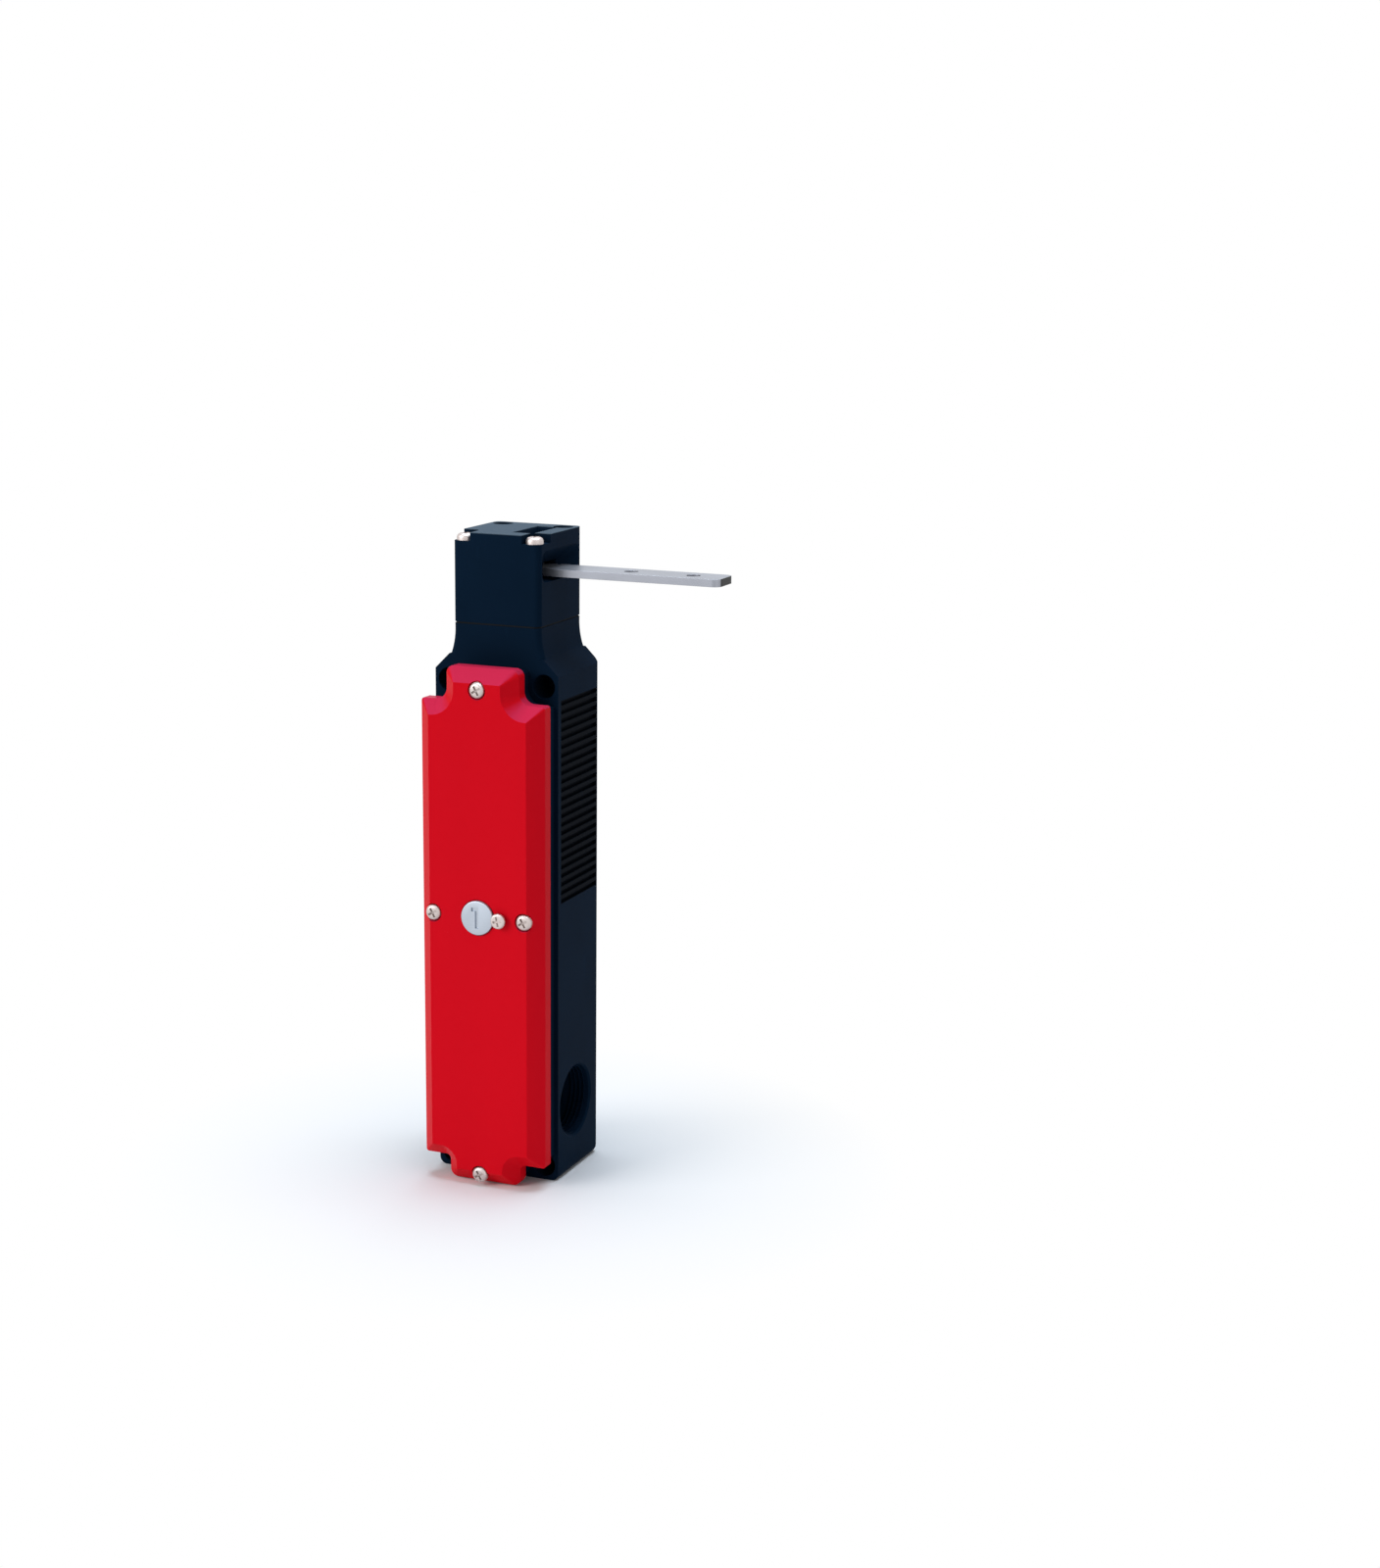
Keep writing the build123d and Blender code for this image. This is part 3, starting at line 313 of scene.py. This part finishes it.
def moulded_navy(name, colour):
    """Navy moulding: fine grain, soft mottling, faint scuffs, painted shade darkening the ribbed
    zone and painted light making the roof paler.
    """
    finish = Finish(bpy.data.materials.new(name))
    grain = finish.noise(2600, 2.0)
    cloud = finish.noise(38, 3.0)
    scuff = finish.ramp(finish.noise(240, 6.0, (1, 1, 0.15)), 0.66, 0.76)
    base = finish.blend(cloud, tone(colour, 0.75), tone(colour, 1.3))
    height = finish.axis("Z")
    depth = finish.axis("Y")
    # Painted shade: the ribbed zone of the sides is darkened nearly to black for the shadow in its
    # grooves
    ribbed = finish.step(height, RIBS_FOOT - EDGE, RIBS_FOOT)
    ribbed = ribbed * (1 - finish.step(height, RIBS_TOP, RIBS_TOP + EDGE))
    ribbed = ribbed * finish.step(depth, RIBS_FRONT - EDGE, RIBS_FRONT)
    ribbed = ribbed * (1 - finish.step(depth, RIBS_REAR, RIBS_REAR + EDGE))
    base_with_painted_rib_shade = finish.blend(ribbed * 0.85, base, RIB_PAINTED_SHADE)
    # Painted light: the top layer of the head's roof is made paler for the light from above
    roof_foot = HEAD_HIGH[2] - ROOF_LAYER
    roof_light_mask = finish.step(height, roof_foot, roof_foot + EDGE)
    base_with_painted_roof_light = finish.blend(roof_light_mask, base_with_painted_rib_shade, ROOF_PAINTED_LIGHT)
    return finish.close({
        "Base Color": finish.blend(scuff * 0.16, base_with_painted_roof_light, tone(colour, 3.0)),
        "Roughness": 0.38 + grain * 0.12 + scuff * 0.06,
        "Normal": finish.bump(grain, 0.1, 0.00005),
        "Specular IOR Level": 0.006,
    })


def glossy_red(name, colour):
    """Red moulding: high gloss with slight waviness and flow lines, and a painted reflection that
    makes its upward faces paler and pinker.
    """
    finish = Finish(bpy.data.materials.new(name))
    flow = finish.noise(26, 2.0, (1, 1, 0.2))
    orange_peel = finish.noise(520, 2.0)
    dust = finish.ramp(finish.noise(1900, 4.0), 0.70, 0.78)
    base = finish.blend(flow, tone(colour, 0.93), tone(colour, 1.06))
    # Painted reflection: faces that look upward get a paler, bluer red for the sky light they
    # reflect
    upward_reflection_mask = finish.step(finish.axis("Z", "Normal"), 0.35, 0.6)
    base = finish.blend(upward_reflection_mask, base, UPWARD_PAINTED_REFLECTION)
    return finish.close({
        "Base Color": finish.blend(dust * 0.05, base, DUST_COLOUR),
        "Roughness": 0.2 + orange_peel * 0.05 + dust * 0.1,
        "Normal": finish.bump(orange_peel, 0.015, 0.00005),
        "Specular IOR Level": 0.012,
    })


def brushed_metal(name, colour, along, rough=0.3, dark_from=None):
    """Metal with fine lines along one axis, spots of stain, and a sheared end that stays dark."""
    finish = Finish(bpy.data.materials.new(name))
    stretch = {"X": (0.03, 1, 1), "Y": (1, 0.03, 1), "Z": (1, 1, 0.03)}[along]
    lines = finish.noise(2400, 4.0, stretch)
    stain = finish.noise(75, 5.0)
    base = finish.blend(stain, tone(colour, 0.84), tone(colour, 1.1))
    drawn = finish.blend(lines * 0.35, base, tone(colour, 0.72))
    if dark_from is not None:
        end = finish.step(finish.axis("X"), dark_from, dark_from + DARK_FADE)
        drawn = finish.blend(end, drawn, tone(colour, 0.02))
    return finish.close({
        "Base Color": drawn,
        "Metallic": 1.0,
        "Roughness": rough + lines * 0.16 + stain * 0.1,
        "Normal": finish.bump(lines, 0.14, 0.00004),
    })


def plain_moulding(name, colour, rough=0.45):
    """Small moulding or seal with grain and slight tone changes."""
    finish = Finish(bpy.data.materials.new(name))
    grain = finish.noise(2200, 3.0)
    cloud = finish.noise(90, 3.0)
    return finish.close({
        "Base Color": finish.blend(cloud, tone(colour, 0.8), tone(colour, 1.2)),
        "Roughness": rough + grain * 0.12,
        "Normal": finish.bump(grain, 0.2, 0.00006),
        "Specular IOR Level": 0.12,
    })


def wound_copper(name):
    """Enamelled wire lying in even turns."""
    finish = Finish(bpy.data.materials.new(name))
    height = finish.axis("Z")
    turns = (height * (2 * math.pi / WIRE)).math("SINE") * 0.5 + 0.5
    return finish.close({
        "Base Color": finish.blend(turns, COPPER_DARK, COPPER_BRIGHT),
        "Metallic": 0.8,
        "Roughness": 0.3 + finish.noise(400) * 0.15,
        "Normal": finish.bump(turns, 0.5, 0.0001),
    })


def deselect():
    """Leaves edit mode with nothing selected."""
    if bpy.context.object and bpy.context.object.mode != "OBJECT":
        bpy.ops.object.mode_set(mode="OBJECT")
    bpy.ops.object.select_all(action="DESELECT")


def take(piece):
    """Makes one piece the only selected and active one."""
    deselect()
    piece.select_set(True)
    bpy.context.view_layer.objects.active = piece


def settle(piece):
    """Moves the piece's place into its mesh."""
    take(piece)
    bpy.ops.object.transform_apply(location=True, rotation=True, scale=True)


def finish_with(piece, kind, **settings):
    """Adds one modifier and applies it."""
    take(piece)
    modifier = piece.modifiers.new(kind.title(), kind)
    for key, value in settings.items():
        setattr(modifier, key, value)
    bpy.ops.object.modifier_apply(modifier=modifier.name)


def smooth(piece, degrees):
    """Smooth shading, with the edges above an angle kept sharp."""
    take(piece)
    bpy.ops.object.shade_smooth_by_angle(angle=math.radians(degrees))


def pick(piece, kind, test):
    """In edit mode, selects the faces or edges that pass a test of their middle and direction."""
    take(piece)
    bpy.ops.object.mode_set(mode="EDIT")
    bpy.ops.mesh.select_all(action="DESELECT")
    bpy.ops.mesh.select_mode(type="FACE" if kind == "faces" else "EDGE")
    mesh = bmesh.from_edit_mesh(piece.data)
    if kind == "faces":
        chosen = [f for f in mesh.faces if test(f.calc_center_median(), f.normal)]
    else:
        chosen = [e for e in mesh.edges if test(*(v.co for v in e.verts))]
    for item in chosen:
        item.select = True
    mesh.select_flush_mode()
    bmesh.update_edit_mesh(piece.data)
    if not chosen:
        raise RuntimeError(f"nothing to select on {piece.name}")


def drum(name, radius, depth, place, turn=(0, 0, 0), sides=ROUND_STEPS):
    """Cylinder added at its size and place."""
    deselect()
    bpy.ops.mesh.primitive_cylinder_add(
        vertices=sides, radius=radius, depth=depth, location=place, rotation=turn,
        end_fill_type="NGON")
    piece = bpy.context.object
    piece.name = name
    settle(piece)
    return piece


def brick(name, low, high):
    """Box between two corners."""
    deselect()
    middle = [(a + b) / 2 for a, b in zip(low, high)]
    bpy.ops.mesh.primitive_cube_add(size=1, location=middle)
    piece = bpy.context.object
    piece.name = name
    piece.scale = [b - a for a, b in zip(low, high)]
    settle(piece)
    return piece


def cut(piece, *cutters):
    """Takes cutters out of the piece and deletes them."""
    for cutter in cutters:
        finish_with(piece, "BOOLEAN", operation="DIFFERENCE", solver="EXACT", object=cutter)
        bpy.data.objects.remove(cutter, do_unlink=True)


def copies(piece, shifts, name):
    """The piece and its copies at further places, joined into one."""
    made = [piece]
    for shift in shifts:
        take(piece)
        bpy.ops.object.duplicate(linked=False)
        bpy.ops.transform.translate(value=shift)
        made.append(bpy.context.object)
    for one in made:
        settle(one)
    deselect()
    for one in made:
        one.select_set(True)
    bpy.context.view_layer.objects.active = made[0]
    bpy.ops.object.join()
    joined = bpy.context.object
    joined.name = name
    return joined


def cover_with(piece, material):
    """Gives the piece one material."""
    piece.data.materials.clear()
    piece.data.materials.append(material)


def place_piece(piece, body, slot, material, *nodes):
    """Rides the piece on its body, in place of the nodes that it stands for."""
    cover_with(piece, material)
    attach(piece, body)
    if nodes:
        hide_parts(*nodes)


def softened(node, name, radius, angle=28, segments=3, flat=lambda middle: True):
    """Copy of a moulded node with rounded edges, its flat places made whole faces where asked."""
    source = frame["nodes"][node]
    take(source)
    bpy.ops.object.duplicate(linked=False)
    piece = bpy.context.object
    piece.name = name
    world = piece.matrix_world.copy()
    piece.parent = None
    piece.matrix_world = world
    settle(piece)
    bpy.ops.object.mode_set(mode="EDIT")
    bpy.ops.mesh.select_all(action="SELECT")
    bpy.ops.mesh.remove_doubles(threshold=WELD)
    bpy.ops.object.mode_set(mode="OBJECT")
    pick(piece, "faces", lambda middle, normal: flat(middle))
    bpy.ops.mesh.dissolve_limited(angle_limit=math.radians(1.5))
    bpy.ops.object.mode_set(mode="OBJECT")
    finish_with(
        piece, "BEVEL", width=radius, segments=segments, limit_method="ANGLE",
        angle_limit=math.radians(angle), use_clamp_overlap=True, miter_outer="MITER_ARC")
    smooth(piece, 40)
    finish_with(piece, "WEIGHTED_NORMAL", keep_sharp=True, weight=100)
    return piece


def cross_headed(name, radius, height, place, turn, spin=0.0):
    """Pan head with a domed top and a cross recess, made along Z and then turned into place."""
    head = drum(name, radius, height, (0, 0, height / 2))
    pick(head, "edges", lambda a, b: a.z > height * 0.9 and b.z > height * 0.9)
    bpy.ops.mesh.bevel(offset=height * 0.62, segments=7, profile=0.5, affect="EDGES")
    bpy.ops.object.mode_set(mode="OBJECT")
    arm = radius * 0.62
    width = radius * 0.13
    floor = height * 0.45
    cutters = [
        brick("cutter_a", (-arm, -width, floor), (arm, width, height * 2)),
        brick("cutter_b", (-width, -arm, floor), (width, arm, height * 2)),
    ]
    cut(head, *cutters)
    smooth(head, 30)
    head.rotation_euler = (0, 0, spin)
    settle(head)
    head.rotation_euler = turn
    head.location = place
    settle(head)
    return head


class SWITCH_OT_mouldings(bpy.types.Operator):
    """Rounds the edges of the housing, cover and head, as moulded parts have them"""
    bl_idname = "switch.mouldings"
    bl_label = "Mouldings"

    def execute(self, context):
        sizes = context.scene.switch_sizes
        colours = context.scene.switch_colours
        navy = moulded_navy("navy_moulding", colours.navy)
        red = glossy_red("red_moulding", colours.red)
        side = HOUSING_HIGH[0] - RIB_LAYER
        housing = softened(
            "housing", "housing_moulding", sizes.edge_round,
            flat=lambda middle: abs(middle.x) < side)
        place_piece(housing, "switch_body", "navy_housing", navy, "housing")
        head = softened("head_housing", "head_moulding", sizes.edge_round)
        place_piece(head, "switch_body", "navy_head", navy, "head_housing")
        cover = softened("front_cover", "cover_moulding", sizes.cover_round, angle=22, segments=4)
        place_piece(cover, "switch_body", "red_cover", red, "front_cover")
        return {"FINISHED"}


class SWITCH_OT_tongue(bpy.types.Operator):
    """Models the steel tongue with its window, screw holes and broken edges"""
    bl_idname = "switch.tongue"
    bl_label = "Tongue"

    def execute(self, context):
        sizes = context.scene.switch_sizes
        piece = brick("steel_tongue", TONGUE_LOW, TONGUE_HIGH)
        end = TONGUE_HIGH[0]
        pick(piece, "edges", lambda a, b: min(a.x, b.x) > end - HAIR and abs(a.y - b.y) < HAIR)
        bpy.ops.mesh.bevel(offset=TONGUE_CORNER, segments=8, profile=0.5, affect="EDGES")
        bpy.ops.object.mode_set(mode="OBJECT")
        mid_y = (TONGUE_LOW[1] + TONGUE_HIGH[1]) / 2
        mid_z = (TONGUE_LOW[2] + TONGUE_HIGH[2]) / 2
        window_x = TONGUE_LOW[0] + TONGUE_BAR
        window = brick(
            "window_cutter",
            (window_x, mid_y - WINDOW_HALF, TONGUE_LOW[2] - MM),
            (window_x + WINDOW_LENGTH, mid_y + WINDOW_HALF, TONGUE_HIGH[2] + MM),
        )
        places = [(end - HOLE_EDGE - n * HOLE_GAP, mid_y, mid_z) for n in range(2)]
        holes = [
            drum(f"hole_cutter_{n}", HOLE_R, HOLE_CUTTER, place)
            for n, place in enumerate(places)
        ]
        cut(piece, window, *holes)
        finish_with(
            piece, "BEVEL", width=sizes.tongue_round, segments=3, limit_method="ANGLE",
            angle_limit=math.radians(40))
        smooth(piece, 35)
        finish_with(piece, "WEIGHTED_NORMAL", keep_sharp=True, weight=100)
        colour = context.scene.switch_colours.steel
        steel = brushed_metal("rolled_steel", colour, "X", 0.28, dark_from=end - EDGE)
        place_piece(piece, "tongue_body", "stainless", steel, "tongue")
        return {"FINISHED"}


class SWITCH_OT_cover_screws(bpy.types.Operator):
    """Models the four cross-headed screws of the cover"""
    bl_idname = "switch.cover_screws"
    bl_label = "Cover screws"

    def execute(self, context):
        radius = context.scene.switch_sizes.cover_screw_r
        seat = SCREWS_LOW[1] + COVER_SCREW_H
        side = SCREWS_HIGH[0] - radius
        top = SCREWS_HIGH[2] - radius
        foot = SCREWS_LOW[2] + radius
        spots = [(0, top), (0, foot), (side, DISC[2]), (-side, DISC[2])]
        turn = (math.pi / 2, 0, 0)
        place = (0, seat, top)
        first = cross_headed("cover_screw", radius, COVER_SCREW_H, place, turn, 0.5)
        shifts = [(x, 0, z - top) for x, z in spots[1:]]
        piece = copies(first, shifts, "cover_screw_heads")
        colour = context.scene.switch_colours.plated
        plated = brushed_metal("plated_screws", colour, "Z", 0.34)
        place_piece(piece, "switch_body", "plated_screw", plated, "cover_screws")
        return {"FINISHED"}


class SWITCH_OT_head_screws(bpy.types.Operator):
    """Models the four domed screws in the head's corners"""
    bl_idname = "switch.head_screws"
    bl_label = "Head screws"

    def execute(self, context):
        radius = context.scene.switch_sizes.head_screw_r
        seat = CAPS_HIGH[2] - HEAD_SCREW_H
        front_x = CAPS_HIGH[0] - radius
        front_y = CAPS_LOW[1] + radius
        rear_x = HEAD_HIGH[0] - REAR_EDGE
        rear_y = HEAD_HIGH[1] - REAR_EDGE
        place = (-front_x, front_y, seat)
        first = cross_headed("head_screw", radius, HEAD_SCREW_H, place, (0, 0, 0), 0.3)
        spots = [(front_x, front_y), (-rear_x, rear_y), (rear_x, rear_y)]
        shifts = [(x + front_x, y - front_y, 0) for x, y in spots]
        piece = copies(first, shifts, "head_screw_heads")
        colour = context.scene.switch_colours.plated
        plated = brushed_metal("plated_caps", colour, "X", 0.3)
        place_piece(piece, "switch_body", "plated_screw", plated, "head_screws")
        return {"FINISHED"}


class SWITCH_OT_release(bpy.types.Operator):
    """Models the slotted release disc and the small screw that holds it"""
    bl_idname = "switch.release"
    bl_label = "Manual release"

    def execute(self, context):
        width = context.scene.switch_sizes.slot_width
        colours = context.scene.switch_colours
        turn = (math.pi / 2, 0, 0)
        middle = (DISC[0], DISC_FRONT + DISC_THICK / 2, DISC[2])
        disc = drum("release_face", DISC_R, DISC_THICK, middle, turn, 72)
        pick(disc, "edges", lambda a, b: max(a.y, b.y) < DISC_FRONT + HAIR)
        bpy.ops.mesh.bevel(offset=DISC_ROUND, segments=4, profile=0.5, affect="EDGES")
        bpy.ops.object.mode_set(mode="OBJECT")
        floor = DISC_FRONT + SLOT_DEPTH
        reach = DISC_R * 0.6
        slot = brick(
            "slot_cutter",
            (DISC[0] - width / 2, DISC_FRONT - MM, DISC[2] - reach),
            (DISC[0] + width / 2, floor, DISC[2] + reach),
        )
        hook = brick(
            "hook_cutter",
            (DISC[0] - HOOK, DISC_FRONT - MM, DISC[2] + reach - width),
            (DISC[0], floor, DISC[2] + reach),
        )
        cut(disc, slot, hook)
        smooth(disc, 30)
        steel = brushed_metal("turned_disc", colours.disc, "X", 0.36)
        place_piece(disc, "release_body", "stainless", steel, "release_disc")

        radius = (LOCK_HIGH[0] - LOCK_LOW[0]) / 2
        place = ((LOCK_HIGH[0] + LOCK_LOW[0]) / 2, LOCK_LOW[1] + LOCK_SCREW_H, DISC[2])
        small = cross_headed("disc_screw_head", radius, LOCK_SCREW_H, place, turn, 0.2)
        plated = brushed_metal("plated_small", colours.plated, "Z", 0.32)
        place_piece(small, "switch_body", "plated_screw", plated, "release_locking_screw")
        return {"FINISHED"}


class SWITCH_OT_entry_thread(bpy.types.Operator):
    """Models the thread inside the cable entry"""
    bl_idname = "switch.entry_thread"
    bl_label = "Entry thread"

    def execute(self, context):
        sizes = context.scene.switch_sizes
        pitch = sizes.thread_pitch
        entry = next(m for m in frame["record"]["mounts"] if m["name"] == "cable_entry")
        mid = Vector(entry["pos_m"])
        radius = sizes.thread_r
        deselect()
        bpy.ops.mesh.primitive_circle_add(
            vertices=3, radius=pitch * 0.5, fill_type="NGON", location=(radius, 0, 0))
        piece = bpy.context.object
        piece.name = "entry_thread"
        bpy.ops.transform.rotate(value=math.pi / 2, orient_axis="X", center_override=(radius, 0, 0))
        settle(piece)
        finish_with(
            piece, "SCREW", angle=2 * math.pi, screw_offset=pitch, iterations=THREAD_TURNS,
            steps=ROUND_STEPS, render_steps=ROUND_STEPS, axis="Z", use_merge_vertices=True)
        piece.rotation_euler = (0, math.pi / 2, 0)
        piece.location = (mid.x - THREAD_BACK, mid.y, mid.z)
        settle(piece)
        smooth(piece, 40)
        navy = bpy.data.materials["navy_moulding"]
        place_piece(piece, "switch_body", "navy_housing", navy)
        return {"FINISHED"}


class SWITCH_OT_inner_parts(bpy.types.Operator):
    """Gives the remaining seals, plugs and inner parts their finishes"""
    bl_idname = "switch.inner_parts"
    bl_label = "Inner parts"

    def execute(self, context):
        black = plain_moulding("black_moulding", (0.012, 0.012, 0.014))
        seal = plain_moulding("rubber_seal", (0.008, 0.008, 0.009), 0.7)
        white = plain_moulding("white_moulding", (0.72, 0.72, 0.68))
        dark = brushed_metal("turned_steel", (0.42, 0.42, 0.44), "Z", 0.34)
        bright = brushed_metal("pressed_steel", (0.68, 0.69, 0.72), "X", 0.3)
        brass = brushed_metal("turned_brass", (0.72, 0.5, 0.2), "Z", 0.28)
        silver = brushed_metal("silver_plating", (0.85, 0.83, 0.78), "X", 0.25)
        copper = wound_copper("copper_wire")
        finishes = {
            "cover_gasket": seal, "head_gasket": seal, "plug_seal": seal,
            "blanking_plug": black, "contact_block": black, "terminal_block": black,
            "solenoid_bobbin": white, "contact_carrier": white,
            "cam_axle": dark, "cam_wheel": dark, "actuating_rod": dark, "rod_collar": dark,
            "rod_spring": dark, "armature_spring": dark, "solenoid_core": dark, "armature": dark,
            "release_spindle": dark, "solenoid_frame": bright, "locking_fork": bright,
            "terminal_screws": bright,
            "rod_bush": brass, "earth_screw": brass, "release_bush": brass,
            "moving_contacts": silver, "fixed_contacts": silver, "solenoid_winding": copper,
        }
        for node, material in finishes.items():
            cover_with(frame["nodes"][node], material)
        return {"FINISHED"}


class SWITCH_OT_stage(bpy.types.Operator):
    """Sets the pale floor, the soft lamps, the white surroundings and the camera"""
    bl_idname = "switch.stage"
    bl_label = "Stage"

    def execute(self, context):
        scene = context.scene
        scene.view_settings.view_transform = "Standard"
        deselect()
        bpy.ops.mesh.primitive_plane_add(size=FLOOR_SIZE, location=(0, 0, HOUSING_LOW[2]))
        floor = context.object
        floor.name = "pale_floor"
        finish = Finish(bpy.data.materials.new("pale_floor"))
        distance = finish.add(
            "ShaderNodeVectorMath", {"operation": "LENGTH"}, {0: finish.place()}, "Value")
        far = finish.ramp(distance, FLOOR_FADE, FLOOR_WHITE)
        paper = finish.add("ShaderNodeBsdfDiffuse", {}, {"Color": PAPER})
        glow = finish.add("ShaderNodeEmission", {}, {"Color": WHITE, "Strength": 1.0})
        factor = far * finish.background_rays()
        shader = finish.add("ShaderNodeMixShader", {}, {0: factor, 1: paper, 2: glow})
        finish.add("ShaderNodeOutputMaterial", {}, {0: shader})
        cover_with(floor, finish.owner)

        scene.world = bpy.data.worlds.new("studio")
        studio = Finish(scene.world)
        soft = studio.add("ShaderNodeBackground", {}, {"Color": SKY, "Strength": SKY_STRENGTH})
        white = studio.add("ShaderNodeBackground", {}, {"Color": WHITE, "Strength": 1.0})
        sockets = {0: studio.background_rays(), 1: soft, 2: white}
        shader = studio.add("ShaderNodeMixShader", {}, sockets)
        studio.add("ShaderNodeOutputWorld", {}, {0: shader})

        for name, values in LAMPS.items():
            self.lamp(name, *values)

        data = bpy.data.cameras.new("photo_camera")
        data.sensor_fit = "AUTO"
        data.sensor_width = 36.0
        data.lens = CAMERA_LENS
        data.clip_start = 0.01
        camera = bpy.data.objects.new("photo_camera", data)
        scene.collection.objects.link(camera)
        backward = [-c for c in CAMERA_FORWARD]
        axes = Matrix((CAMERA_RIGHT, CAMERA_UP, backward)).transposed().to_4x4()
        camera.matrix_world = Matrix.Translation(CAMERA_PLACE) @ axes
        scene.camera = camera
        return {"FINISHED"}

    def lamp(self, name, place, size, power, colour):
        """Square soft lamp that looks at the middle of the body."""
        data = bpy.data.lights.new(name, "AREA")
        data.size = size
        data.energy = power
        data.color = colour
        lamp = bpy.data.objects.new(name, data)
        lamp.location = place
        aim = Vector((0, 0, HOUSING_HIGH[2] / 2)) - Vector(place)
        lamp.rotation_euler = aim.to_track_quat("-Z", "Y").to_euler()
        bpy.context.scene.collection.objects.link(lamp)


class SWITCH_PT_panel(bpy.types.Panel):
    """Lists the sizes, the colours and the steps"""
    bl_idname = "SWITCH_PT_panel"
    bl_label = "Interlock switch"
    bl_space_type = "VIEW_3D"
    bl_region_type = "UI"
    bl_category = "Switch"

    def draw(self, context):
        column = self.layout.column()
        for group in (context.scene.switch_sizes, context.scene.switch_colours):
            for key in group.bl_rna.properties.keys():
                if key not in ("rna_type", "name"):
                    column.prop(group, key)
        for step in STEPS:
            column.operator(step.bl_idname)


STEPS = (
    SWITCH_OT_mouldings,
    SWITCH_OT_tongue,
    SWITCH_OT_cover_screws,
    SWITCH_OT_head_screws,
    SWITCH_OT_release,
    SWITCH_OT_entry_thread,
    SWITCH_OT_inner_parts,
    SWITCH_OT_stage,
)
CLASSES = (SwitchSizes, SwitchColours) + STEPS + (SWITCH_PT_panel,)


def register():
    for one in CLASSES:
        bpy.utils.register_class(one)
    bpy.types.Scene.switch_sizes = bpy.props.PointerProperty(type=SwitchSizes)
    bpy.types.Scene.switch_colours = bpy.props.PointerProperty(type=SwitchColours)


def unregister():
    del bpy.types.Scene.switch_colours
    del bpy.types.Scene.switch_sizes
    for one in reversed(CLASSES):
        bpy.utils.unregister_class(one)


def main():
    """Makes every piece in order."""
    register()
    for step in STEPS:
        group, action = step.bl_idname.split(".")
        getattr(getattr(bpy.ops, group), action)()


if __name__ == "__main__":
    main()
